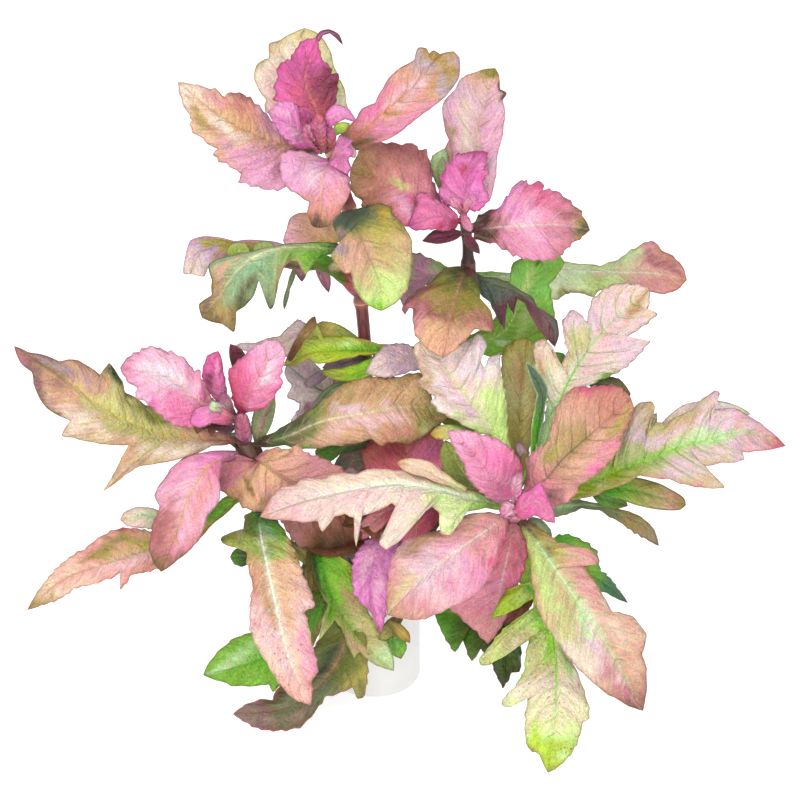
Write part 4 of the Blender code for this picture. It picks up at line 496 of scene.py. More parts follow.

# Partly painted shade: the far end of c_front_right runs to brown with brown and umber patches, and e_low
# runs from umber to brown, where both lie under the finger leaf d_finger; besides their own brown, that is
# painted shade. The brick red and wine at e_back's tip are painted shadow cast by c_right.
SKINS = read_table("""
a_left: rib ochre .3; rim rosebrown .6; veins .3;
 run umber 0, dustyrose .12, pinktan .38, peachtan .6, peachpale .85, shell 1;
 spots lilacpink .35 -.7 .45, lilacpink .32 .75 .35, rosetan .55 .6 .25, olivetan .75 -.6 .22,
  dustypink .75 .6 .25, umber 0 0 .16, olivebrown .14 -.1 .14, rosebrown .6 .95 .15, shell .6 -.2 .2
a_front: rib peach .6; veins .3;
 run orchid 0, lilacpink .2, lilacpink .45, dustypink .65, rosetan .85, umber 1;
 spots orchidpink .05 -.6 .25, lilacpale .3 .4 .3, dustypink .5 -.6 .3, umber 1 .4 .22,
  olivebrown .95 -.5 .15
a_back: rib khaki .3; rim olivetan .8; run limepale 0, shell .2, shell .5, cream .75, sand 1;
 spots blush .4 -.6 .4, shell .7 -.5 .3, limepale .5 .8 .4, tan .8 -.95 .15, olivetan .97 -.3 .15
a_up: rib salmon .6; veins .4; run crimson 0, crimsonpink .2, crimsonpink .45, magenta .7, hotpink .95;
 spots hotpink .5 -.85 .25, wine .45 .65 .5, wine .2 .55 .4, brickred .12 .2 .25, wine .75 .9 .2,
  hotpink .9 -.3 .2
a_young: rib pinkpale .4; veins .4;
 run wine 0, crimson .2, hotpink .4, orchidpink .6, orchid .85, pinkpale 1;
 spots wine .15 .5 .35, pinkpale .55 -.4 .3, crimson .4 .6 .25, magenta .5 .85 .25, pinkpale .8 .3 .2
a_right: rib orange .7; rim brickred .5; veins .35;
 run deepolive 0, brownpink .12, pink .35, dustypink .55, pinktan .75, lilacgrey .9, olivetan 1;
 spots pinkbright .4 -.6 .3, lilacpale .65 0 .22, oliveshade .12 .6 .22, pink .55 .8 .25, tan .82 .5 .22,
  tan .5 .2 .15
a_lower_front: rib olivebrown .45; veins .18;
 run slate 0, slategreen .15, khaki .35, pinktan .5, palekhaki .68, limepale .85, lime 1;
 spots pinktan .5 .5 .35, khaki .4 -.6 .35, slate .1 .4 .3, limepale .85 -.5 .25, yellowochre .2 -.85 .2,
  mauvegrey .35 .8 .2
a_lower_left: rib cream .7; rim maroon .7; veins .3;
 run deepgreen 0, green .12, leafgreen .25, sagegreen .42, sage .6, sage .75, olivetan .88, olivebrown 1;
 spots seafoam .5 .5 .3, seafoam .62 -.3 .25, rosetan .4 -.85 .18, pinktan .75 .5 .22,
  deepolive .72 -.85 .22, mauvebrown .95 .3 .2, mintpale .55 .05 .18, bottle .1 .4 .15
a_lower_back: rib yellowochre .5; run khakigreen 0, peachtan .35, pinktan .65, pinkpale 1
a_arched: rib olivegreen .3; rim mauve .6;
 run rosebrown 0, dustyrose .07, brick .14, olivegreen .2, green .27, khakigreen .4, olivetan .6,
  khaki .8, lilac .86, shell 1;
 spots pinkbright .06 .3 .1, mauve .62 -.8 .25, mauvebrown .42 -.8 .2, olivetan .5 .6 .2,
  lilacpink .6 .9 .2, lilacpink .76 .9 .15, mauve .75 -.5 .15
b_left: rib yellowochre .25; veins .15;
 run rosebrown 0, pinkbright .12, pinkbright .3, salmonpink .5, rosetan .75, tan 1;
 spots pinkbright .35 -.3 .3, rosebrown .3 .9 .4, paleyellow .5 .1 .12, brick .12 -.7 .25,
  olivetan .92 .3 .25, pinkpale .45 -.4 .2, rosebrown .7 .9 .25
b_back: rib yellowtan .5; rim brick .5; veins .35;
 run sagegreen 0, pinkpale .12, lilacpale .3, pinkpale .5, lilacpale .75, pinktan .95, olive 1;
 spots shell .55 -.35 .25, lilacpink .38 .5 .3, pinkpale .65 .5 .35, olivetan .42 -.95 .18,
  umber .84 .95 .12
b_up: rib pinkpale .25; veins .3; run hotpink 0, orchidpink .2, hotpink .5, orchidpink .8, magenta 1;
 spots orchid .3 .3 .3, crimson .6 -.4 .2, orchidpink .35 -.7 .25, pinkpale .1 .2 .15
b_young: rib pinkpale .25; run crimson 0, pinkbright .25, pinkbright .7, hotpink 1; spots crimson .4 -.8 .3
b_right: rib shell .6; rim brickred .5; veins .3;
 run umber 0, maroon .08, rosebrown .18, pink .32, pinkpale .48, pink .62, dustyrose .8, olivetan .93,
  deepolive 1;
 spots crimsonpink .55 -.8 .3, pinkpale .45 -.05 .22, deepolive .97 .3 .26, olivebrown .9 -.5 .18,
  pink .5 .75 .3, rosebrown .78 -.6 .2, umber .1 .5 .2, orchid .32 -.6 .22
b_lower_front: rib rosetan .6;
 run maroon 0, deepolive .08, olivegreen .25, olive .42, olivetan .52, rosebrown .62, peachtan .74,
  peach .88, pinktan 1;
 spots olive .45 -.3 .4, rosebrown .52 .8 .22, dustypink .66 .85 .18, olive .25 .8 .2, pinktan .8 -.4 .25
b_lower_right: rib maroon .4; run slate 0, slate .25, plum .5, mauvebrown .75, maroon .9, slate 1;
 spots slategreen .3 -.5 .35, maroon .5 .6 .4, slate .8 -.5 .2
b_lower_left: rib pinkpale .7; run green 0, sagegreen .4, mauve .7, sage 1
b_low_green: rib limepale .6; flecks .3;
 run leafgreen 0, leafgreen .3, leafgreen .55, mintgreen .8, leafgreen 1;
 spots limepale .55 .3 .2, limepale .8 0 .2, mintgreen .5 -.5 .2, mintpale .25 .4 .15,
  deepgreen .1 -.6 .15
b_low_right: rib mintwhite 1;
 run maroon 0, leafgreen .1, limepale .28, mintcream .45, limepale .65, dustypink .85, rosetan 1;
 spots mintcream .42 .25 .3, mintpale .6 .1 .2, mintpale .72 -.6 .15, olive .55 .98 .16,
  pinktan .8 .1 .25, rosebrown .92 -.5 .2, mauve .4 -.95 .13
c_left: rib yellow .5; veins .35;
 run rosebrown 0, pinktan .12, palekhaki .28, palekhaki .54, pinktan .68, mauvebrown .88, dustyrose 1;
 spots pinktan .42 -.75 .3, paleyellow .48 0 .16, deepgreen .58 .98 .22, mauvegrey .82 .3 .25,
  shell .62 -.6 .25, bottle .77 -.98 .1, olivegreen .3 .6 .22, shell .22 -.5 .25, pinktan .75 -.4 .2,
  bottle .64 1 .12
c_young_left: rib peachpale .5; veins .3;
 run crimson 0, rosebrown .12, pinkbright .3, pinkpale .55, pinkpale .8, pink 1;
 spots lilacwhite .65 .1 .35, pinkbright .4 -.7 .3, rosebrown .2 .75 .25, hotpink .65 -.85 .15,
  pink .45 .7 .3
c_young_up: rib pinkpale .25; run wine 0, mauve .15, pinkbright .4, hotpink .7, crimsonpink 1;
 spots wine .5 -.5 .25, pinkpale .7 .3 .25, mauve .3 .6 .2, hotpink .55 .5 .2
c_young_right: rib salmon .4; veins .3;
 run crimson 0, crimsonpink .3, pinkbright .6, pinkpale .85, pinkpale 1;
 spots crimson .25 -.7 .35, crimsonpink .5 -.8 .25, lilacwhite .65 .3 .25, pink .3 .4 .3
c_right: rib cream .6; veins .3;
 run umber 0, deepgreen .08, oliveshade .18, olivegreen .3, olivetan .42, tan .55, tan .75, olive .9,
  palekhaki 1;
 spots pinktan .38 .65 .3, blush .6 .3 .25, lilacpale .55 -.2 .16, bottle .14 -.4 .14, green .2 .85 .14,
  olive .95 -.3 .2, rosetan .78 .7 .2, umber .03 0 .1, peachtan .8 -.4 .25
c_front_left: rib yellowochre .6; veins .3;
 run mauve 0, pinkbright .12, pink .3, pinkpale .5, dustypink .68, dustyrose .84, olivebrown .95,
  bottle 1;
 spots orchid .15 .4 .3, salmonpink .45 -.5 .3, rosebrown .74 .6 .35, pinkpale .68 -.4 .2, umber 1 0 .14
c_front_right: rib brown .3; rim maroon .5; veins .3;
 run dustyrose 0, peachtan .14, dustypink .4, rosetan .7, brown 1;
 spots yellowochre .02 1.1 .16, olivebrown .12 .5 .1, umber 0 0 .07, peachtan .1 .8 .15,
  brown .72 .8 .45, umber .8 .9 .3, olivetan .3 .7 .12
c_low_left: rib khaki .6; rim brick .5; flecks .4; veins .2;
 run lime 0, leafgreen .12, green .2, olivetan .32, pinktan .42, rosetan .52, peachpink .7,
  peachpale .85, olivetan 1;
 spots yellowolive .45 .2 .25, blush .62 -.3 .3, rosebrown .55 .8 .15, deepgreen .42 -.8 .12,
  olive .6 .5 .18, peachpink .8 -.3 .25
mid_green: rib lime .3; run teal 0, deepgreen .08, green .3, limeyellow .5, yellowgreen .75, khaki 1;
 spots yellow .4 -.6 .25, leafgreen .5 .2 .3, yellowtan .45 .8 .2, khaki .85 .6 .25, green .45 -.2 .2,
  limepale .6 .5 .2, deepgreen .2 .5 .2
mid_oval: rib shell .8; rim plum .5; run lilac 0, lilacpale .35, lilacpale .7, shell 1
mid_lilac: rib deepgreen .7; under lilacwhite .3; run lilacwhite 0, shell .3, lilacwhite 1;
 spots mauve .5 -.8 .12, lilacpale .8 .5 .2
hanging_pink: rib mintwhite 1; rim brickred .4; flecks .7;
 run bottle 0, green .08, olivegreen .18, khakigreen .28, peachtan .4, blush .55, peachpale .72,
  peachpink .92, rosetan 1;
 spots seafoam .14 -.3 .16, rosetan .45 .8 .2, peachtan .54 -.3 .28, green .2 -.6 .15, blush .72 .3 .3,
  olive .16 .7 .14, tan .48 .3 .18, pink .8 -.7 .25
hanging_green: rib green .5; rim olivebrown .5; flecks .6;
 run bottle 0, green .2, lime .35, khakigreen .55, palekhaki .8, mintpale 1;
 spots green .35 .3 .22, tan .5 -.6 .25, bottle .25 .9 .3, pinktan .72 .4 .2, sand .62 -.5 .2,
  yellowgreen .2 -.7 .2, paleyellow .48 .98 .2, lime .3 -.2 .2
hanging_olive: rib rosetan .6; rim rose .5; veins .2;
 run deepolive 0, olivegreen .3, olivegreen .45, slategreen .62, oliveshade .78, mauvebrown .92,
  greybrown 1;
 spots olivegreen .35 .5 .35, khaki .47 -.85 .22, slategreen .7 .3 .25, greybrown .85 -.5 .25,
  bottle .55 .3 .2, umber .8 .6 .15
hanging_pale: rib mintgreen .3; flecks .5;
 run green 0, olivegreen .25, green .5, leafgreen .75, leafgreen 1;
 spots green .45 -.3 .25, mintpale .85 .2 .3, khaki .45 -.85 .25, peachtan .3 -.95 .15,
  olivegreen .3 .4 .25
d_young: rib crimsonpink .3; veins .3; run pinkbright 0, pink .3, pink .7, pinkpale 1;
 spots crimsonpink .3 .7 .3, pink .6 -.4 .3, pinkbright .5 .5 .25, pinkbright .15 -.3 .25
d_up_right: rib oliveshade .7; rim rosebrown .5; veins .3;
 run dustyrose 0, salmonpink .15, pinktan .35, pinktan .6, rosetan .85, rosetan 1;
 spots pinkbright .52 .95 .26, olivetan .5 -.1 .2, rose .82 -.9 .2, mauvebrown .12 .6 .2,
  khaki .8 .6 .25, dustypink .2 -.8 .2, khaki .4 -.5 .2
d_right: rib lime .9; rim rose .6; veins .35; flecks .4;
 run green 0, leafgreen .12, khakigreen .26, palekhaki .42, palekhaki .58, lilacpale .78, dustypink .92,
  rose 1;
 spots yellowgreen .2 .4 .2, sagegreen .46 .05 .22, mintpale .68 0 .22, dustypink .5 .95 .2,
  peachtan .25 -.8 .22, khaki .25 .9 .2, lilacpale .56 .5 .2, pinktan .62 -.7 .18, lilacpale .5 -.5 .2
d_back_left: rib limepale .9; rim olivebrown .6; veins .35;
 run green 0, lime .14, limepale .28, limepale .42, shell .56, lilacwhite .76, peachpale 1;
 spots lilacpale .62 -.4 .25, olivetan .25 -.85 .22, tan .8 -.8 .2, limepale .42 .3 .26,
  olive .25 .9 .22, blush .75 .1 .3
d_back_brown: rib khaki .3; run khaki 0, khaki .3, palekhaki .55, khaki 1;
 spots olivetan .5 .7 .25, rosebrown .2 0 .2, tan .7 -.3 .25
d_back_right: rib mintgreen .9; rim brown .6; veins .4;
 run lime 0, mintpale .18, mintcream .32, shell .5, lilacpale .75, peachpale 1;
 spots mintpale .3 -.5 .2, blush .7 .2 .25, peachtan .45 -.85 .22, leafgreen .5 .95 .12, tan .97 .3 .2,
  palekhaki .6 -.4 .2
d_finger: rib mintwhite 1; rim salmon .5; veins .35;
 run olivegreen 0, leafgreen .08, limepale .2, shell .42, shell .7, blush .9, peachpink 1;
 spots limepale .25 -.4 .2, blush .6 -.3 .3, peachpale .55 .6 .3, rosebrown .03 0 .1,
  mintcream .45 .1 .12, peachtan .3 .85 .25
d_front_left: rib shell .9; rim rose .4; veins .35;
 run rosebrown 0, salmonpink .12, dustypink .3, pink .45, blush .65, dustypink .85, tan 1;
 spots tan .5 .75 .3, pink .4 -.6 .35, lilacpale .62 0 .35, rose .2 -.8 .2, sand .85 .3 .25,
  pinktan .2 .5 .2
d_front: rib mintpale 1; veins .35;
 run maroon 0, olivetan .1, khaki .2, pinktan .35, palekhaki .5, shell .6, pinktan .78, rosebrown .93,
  oliveshade 1;
 spots limepale .25 .5 .3, pinktan .6 -.7 .3, dustypink .4 -.7 .3, palekhaki .45 .4 .25,
  lilacpale .66 .3 .25, yellowochre .17 -.98 .2, umber 1 .2 .1, maroon .1 0 .14, dustyrose .87 .5 .2,
  mintpale .55 .1 .12
d_front_low: rib lime .9; rim olivebrown .5; veins .3; flecks .7;
 run green 0, leafgreen .12, khakigreen .25, limepale .38, palekhaki .5, shell .65, cream .8,
  limepale .9, yellowgreen .96, khaki 1;
 spots limeyellow .28 .85 .3, lime .42 0 .16, green .25 .1 .15, limepale .62 .9 .2, limeyellow .9 .6 .2,
  sagegreen .55 -.5 .15
d_grey: rib mintpale .4; run slate 0, sage .3, slategreen .5, olivetan .8, greybrown 1;
 spots mintpale .3 0 .25
d_dark: rib deepgreen .5; rim slate .6; run deepgreen 0, green .3, leafgreen .55, seagreen .8, slate 1;
 spots leafgreen .3 .5 .25
e_back: rib rose .3; veins .3; run salmon 0, rosebright .3, salmon .6, brickred 1;
 spots pinkbright .5 .6 .4, brickred .65 -.4 .3, wine .92 .2 .2, rosebright .3 -.7 .3
e_left: rib pinkpale .3; run rose 0, orchid .2, orchid .45, orchid .7, orchidpink .85, hotpink 1;
 spots pinkpale .6 -.4 .25, pinkpale .4 .5 .3
e_right: rib shell .6; veins .3; run salmonpink 0, rosebright .2, pinkbright .5, salmonpink .9;
 spots rosebright .6 -.6 .3, rosebrown .2 -.5 .2, dustypink .5 .5 .3
e_low: rib orange .3; run umber 0, brown .3, brown .7, umber 1
e_dark: rib yellowolive .3; run oliveshade 0, deepgreen .3, deepolive .6, green 1;
 spots green .85 .3 .3, umber .3 .5 .3
""")


def read_tints(text):
    """Words of a colour's name and its numbers, parted by commas, become a list of both."""
    parts = [part.split() for part in text.split(",") if part.strip()]
    return [(hex_colour(COLOURS[part[0]]), [float(value) for value in part[1:]]) for part in parts]


print("leaves without a skin:", set(LEAVES) - set(SKINS),
      "and skins without a leaf:", set(SKINS) - set(LEAVES))

# %% [markdown]
# A leaf's edge is walked in small steps between its corners. Each step bulges a little, the
# corners are softened, and fine teeth that lean towards the tip are added as a sawtooth. Every
# point of the edge then looks for the nearest point of the midrib, and is put on the plane in
# which the blade faces there. A slow wave and a fold bring it towards the eye or away from it.
# Each leaf has a seed, and the odd factors of it below shift the waves, so that no two leaves
# ripple alike.

# %% From corners to a toothed edge
ROOT_GAP = 0.8
ROOT_HALF_WIDTH = 1.1
ROOT_SHARE = 0.15
LEAN = 0.55
LEAF_STEPS = 161
EDGE_STEP = 1.4
EDGE_BULGE = 0.04
EDGE_SOFTENING = 1
TEETH = (10.0, 2.6)
TEETH_FADE = 12.0
TOOTH_POINT = 1.4
TOOTH_RISE = 0.72
TOOTH_FALL = 0.28
TOOTH_DRIFT = 0.4
TOOTH_BASE = 0.3
TOOTH_DEPTHS = (0.65, 0.35)
WAVE_LENGTH = 34.0
WAVE_HEIGHT = 1.3
WAVE_FULL_WIDTH = 8.0
FOLD = 0.14
FOLD_CHANGE = 0.12
SLOW_SOFTENING = 16
LOBE_SOFTENING = 10
FOLD_SOFTENING = 6
SWEEP = 0.6
EVENNESS = 0.12
VEIN_SPACING = 7.5


def soften(values, passes):
    """Each value becomes half of itself and a quarter of both neighbours, with the ends kept."""
    values = values.copy()
    for _ in range(passes):
        values[1:-1] = 0.25 * values[:-2] + 0.5 * values[1:-1] + 0.25 * values[2:]
    return values


def at_shares(path, shares):
    """Points at shares 0 to 1 of a path, each coordinate interpolated between its steps."""
    steps = np.linspace(0.0, 1.0, len(path))
    return np.stack([np.interp(shares, steps, values) for values in path.T], axis=-1)


def leaf_spine(plan):
    """The midrib, the way that the blade faces along it, and where it meets its stem. The
    blade faces square to its midrib, and eases into facing the eye close to the root."""
    facing = unit(plan.get("lean", LEAN) * UP - LOOK)
    places = in_space(read_places(plan["midrib"]))
    joint = root = places[0]
    if "stem" in plan:
        stem = stem_paths[plan["stem"]]
        node = stem[np.argmin(np.abs(seen(stem)[:, 1] - plan["row"]))]
        outward = unit(places[0] - node)
        joint = node + 0.5 * STEM_RADIUS * outward
        root = node + (STEM_RADIUS + ROOT_GAP) * outward
        places = np.vstack((root, places))
    midrib = smooth_path(places, LEAF_STEPS)
    along = unit(np.gradient(midrib, axis=0))
    square = np.clip(np.linspace(0.0, 1.0, LEAF_STEPS) / ROOT_SHARE, 0.0, 1.0)
    face = unit(facing - (square * (along @ facing))[:, None] * along)
    return midrib, face, joint


def leaf_edge(plan, side, midrib, face, seed):
    """The edge as points in space, the share of the midrib that each vein to it starts from,
    the share that it is nearest to, and the count of side veins up to it."""
    sign = {"left": 1.0, "right": -1.0}[side]
    drawn = seen(midrib)
    aside = unit(np.cross(face[0], midrib[1] - midrib[0]))
    start = seen((midrib[0] + sign * ROOT_HALF_WIDTH * aside)[None])
    corners = np.vstack((start, read_places(plan[side]), drawn[-1:]))
    runs = np.diff(corners, axis=0)
    lengths = np.linalg.norm(runs, axis=1)
    walk = np.concatenate(((0.0,), np.cumsum(lengths)))
    count = int(walk[-1] / EDGE_STEP) + 3
    at = np.linspace(0.0, walk[-1], count)
    piece = np.clip(np.searchsorted(walk, at, side="right") - 1, 0, len(lengths) - 1)
    part = (at - walk[piece]) / lengths[piece]
    outward = sign * unit(np.stack((runs[piece, 1], -runs[piece, 0]), axis=-1))
    bulge = plan.get("bulge", EDGE_BULGE) * lengths[piece] * np.sin(math.pi * part)
    line = corners[piece] + runs[piece] * part[:, None] + outward * bulge[:, None]
    line = soften(line, EDGE_SOFTENING)
    gaps = np.linalg.norm(line[:, None] - drawn[None], axis=2)
    reach = gaps.min(axis=1)
    near = soften(gaps.argmin(axis=1) / (LEAF_STEPS - 1), SLOW_SOFTENING)

    pitch, depth = plan.get("teeth", TEETH)
    turn = at / pitch + TOOTH_DRIFT * np.sin(at / (1.7 * pitch) + seed)
    share = turn % 1.0
    saw = np.minimum(share / TOOTH_RISE, (1.0 - share) / TOOTH_FALL) ** TOOTH_POINT
    depth = depth * (TOOTH_DEPTHS[0] + TOOTH_DEPTHS[1] * np.sin(1.9 * np.floor(turn) + seed))
    slope = unit(np.gradient(soften(line, 2), axis=0))
    outward = sign * np.stack((slope[:, 1], -slope[:, 0]), axis=-1)
    fade = np.clip(reach / TEETH_FADE, 0.0, 1.0) ** 1.5
    line = line + outward * ((saw - TOOTH_BASE) * depth * fade)[:, None]

    spot = at_shares(midrib, near)
    facing = at_shares(face, near)
    lines = sight_lines(line)
    far = ((spot - EYE) * facing).sum(axis=1) / (lines * facing).sum(axis=1)
    edge = EYE + far[:, None] * lines
    width = np.linalg.norm(edge - spot, axis=1)
    wide = np.clip(width / WAVE_FULL_WIDTH, 0.0, 1.0)
    wave = np.sin(2 * math.pi * at / WAVE_LENGTH + 2.0 * seed) * wide
    fold = plan.get("fold", FOLD) + FOLD_CHANGE * math.sin(3.1 * seed)
    towards = plan.get("wave", WAVE_HEIGHT) * wave + fold * width
    edge = edge - unit(lines) * soften(towards, FOLD_SOFTENING)[:, None]

    drawn_length = np.linalg.norm(np.diff(drawn, axis=0), axis=1).sum()
    origin = np.maximum.accumulate(np.clip(near - SWEEP * reach / drawn_length, 0.0, 1.0))
    origin = soften(origin, FOLD_SOFTENING) * (1.0 - EVENNESS) + EVENNESS * np.linspace(0.0, 1.0, count)
    origin = (origin - origin[0]) / (origin[-1] - origin[0])
    calm = soften(reach, LOBE_SOFTENING)
    lobes = np.flatnonzero((calm[1:-1] > calm[:-2]) & (calm[1:-1] >= calm[2:])) + 1
    knots = np.concatenate(((0.0,), origin[lobes], (1.0,)))
    length = np.linalg.norm(np.diff(midrib, axis=0), axis=1).sum()
    counts = np.maximum(1, np.round(np.diff(knots) * length / plan.get("spacing", VEIN_SPACING)))
    veins = np.interp(origin, knots, np.concatenate(((0.0,), np.cumsum(counts))))
    return edge, origin, near, veins


# %% [markdown]
# The blade is the surface between midrib and edge: a point is the midrib point plus a share of
# the way along the line that leads to the edge. Side veins bow towards the tip. The skin between
# two of them is puffed up like a quilt and a little crumpled, most in young leaves, and the
# midrib lies in a groove on top and stands out below. The thin shell is closed by carrying the
# grid round its edge and back on the other side. Solidify could do that too, but a worked-out
# shell can be thick at the midrib and as thin as paper at the edge.

# %% From edges to a blade
COLUMNS = 6
COLUMN_CROWDING = 1.3
BLADE_THICKNESS = 0.32
EDGE_THICKNESS = 0.1
PUFF = 0.5
CRUMPLE = 0.3
VEIN_BOW = 1.0
ARCH = 0.2
GROOVE = 0.16
GROOVE_WIDTH = 0.7
RIDGE = 0.55
RIDGE_WIDTH = 0.8
RIDGE_FADE = 0.75
FULL_PUFF_WIDTH = 7.0
WIDEST_PACE = 12.0
STALK = 0.9
STALK_LENGTH = 7.0


def leaf_blade(plan, seed):
    """The ring of corners around the blade at each station of the midrib, and its marks:
    share along the midrib, signed share across, millimetres from the midrib and from the rim,
    the count of side veins so far, less a bow times the share across squared, millimetres from
    one side vein to the next, and 1 on the lower side."""
    midrib, face, joint = leaf_spine(plan)
    edges = {side: leaf_edge(plan, side, midrib, face, seed + turn)
             for side, turn in (("left", 0.0), ("right", 1.7))}
    stations = np.union1d(edges["left"][1], edges["right"][1])
    spine = at_shares(midrib, stations)
    facing = unit(at_shares(face, stations))
    length = np.linalg.norm(np.diff(midrib, axis=0), axis=1).sum()

    share = np.linspace(0.0, 1.0, COLUMNS) ** COLUMN_CROWDING
    side = np.concatenate((-share[::-1], share[1:]))
    reach = np.abs(side)[None, :]
    at_side = {"left": (side < 0)[None, :], "right": (side >= 0)[None, :]}

    def on_both(index):
        """A value of the left edge on the left columns and of the right edge on the others."""
        return sum(np.interp(stations, edge[1], edge[index])[:, None] * at_side[name]
                   for name, edge in edges.items())

    rim = sum(np.stack([np.interp(stations, edge[1], values) for values in edge[0].T],
                       axis=-1)[:, None] * at_side[name][..., None] for name, edge in edges.items())
    width = np.linalg.norm(rim - spine[:, None], axis=2)
    rib = width * reach
    veins = on_both(3) - VEIN_BOW * reach**2
    crest = np.sin(math.pi * veins) ** 2
    small = np.clip(width / FULL_PUFF_WIDTH, 0.0, 1.0)
    lift = plan.get("puff", PUFF) * small * crest * np.sin(math.pi * reach**0.8)
    folds = np.sin(2.3 * veins + 3.1 * side + seed) * np.cos(1.7 * veins - 4.3 * side + 2.0 * seed)
    lift = lift + plan.get("crumple", CRUMPLE) * small * folds * reach
    lift = lift + plan.get("arch", ARCH) * rib * (1.0 - reach)
    lift = lift - GROOVE * small * np.exp(-(rib / GROOVE_WIDTH) ** 2)
    top = spine[:, None] + (rim - spine[:, None]) * reach[..., None] + facing[:, None] * lift[..., None]

    stalk = STALK * np.exp(-stations[:, None] * length / STALK_LENGTH)
    ridge = RIDGE * np.exp(-(rib / RIDGE_WIDTH) ** 2) * (1.0 - RIDGE_FADE * stations[:, None])
    depth = BLADE_THICKNESS + stalk + ridge
    depth = EDGE_THICKNESS + (depth - EDGE_THICKNESS) * (1.0 - reach**2)
    low = top - facing[:, None] * depth[..., None]
    grid = np.concatenate((top, low[:, ::-1]), axis=1)
    grid = np.concatenate((grid[:1] + (joint - spine[0]), grid), axis=0)

    pace = np.gradient(stations)[:, None] * length / np.maximum(np.abs(np.gradient(veins, axis=0)), 1e-6)
    layers = dict(along=stations[:, None] + (on_both(2) - stations[:, None]) * reach,
                  side=side + 0.0 * rib, rib=rib, rim=width - rib,
                  fan=veins, pace=np.clip(pace, 1.0, WIDEST_PACE))
    marks = {name: np.concatenate((values, values[:, ::-1]), axis=1) for name, values in layers.items()}
    marks["under"] = np.concatenate((0.0 * rib, 0.0 * rib + 1.0), axis=1)
    return grid, {name: np.concatenate((values[:1], values), axis=0) for name, values in marks.items()}


# %% [markdown]
# Leaf skin is a waxy layer over soft tissue, so it has a satin gloss and an index near 1.45.
# Its colours come from the leaf's own marks and drift with slow noise, so that no patch has a
# hard border. Side veins are paler sunken lines that wander a little and fork towards the rim:
# a triangle wave of the vein count gives the distance to the nearest one. Fine streaks fan out
# beside them as the tissue wrinkles; they are partly its own fine lines and partly painted
# highlight and painted shade on the wrinkles. The rim is a thin darker line, and cells that
# hold more or less red, green and blue give a fine grain. The lower side is duller and more lilac. The
# light
# here is stronger than white paper needs, so that the floor stays white in the shade, and each
# leaf colour is dimmed by that much. Widths along a line are in millimetres, from its middle.

# %% Leaf finishes
SATIN = 0.5
CLOUD = 1 / 0.013
MOTTLE = 1 / 0.0035
GRAIN = 1 / 0.0006
NET = 1 / 0.0022
FLECK = 1 / 0.0012
VEIN_WANDER = 0.5
FORK_FROM = 0.4
FORK_WIDTH = 0.2
RIB_CORE, RIB_EDGE, RIB_GLOW = 0.2, 1.0, 4.5
VEIN_CORE, VEIN_EDGE, VEIN_GLOW = 0.05, 0.4, 1.8
RIM_CORE, RIM_EDGE = 0.1, 1.1
STREAKS = (3.5, 2.2, 0.0)
STREAKS_PER_METRE = (30.0, 30.0, 30.0)
DRIFT = (0.5, 1.1, 0.0)
PATCH_SHAPE = (1.0, 0.5, 0.0)
GRAIN_GAIN, GRAIN_BASE = (1.5, 1.5, 1.5), (0.25, 0.25, 0.25)
BRIGHT_LIGHT = 1.42


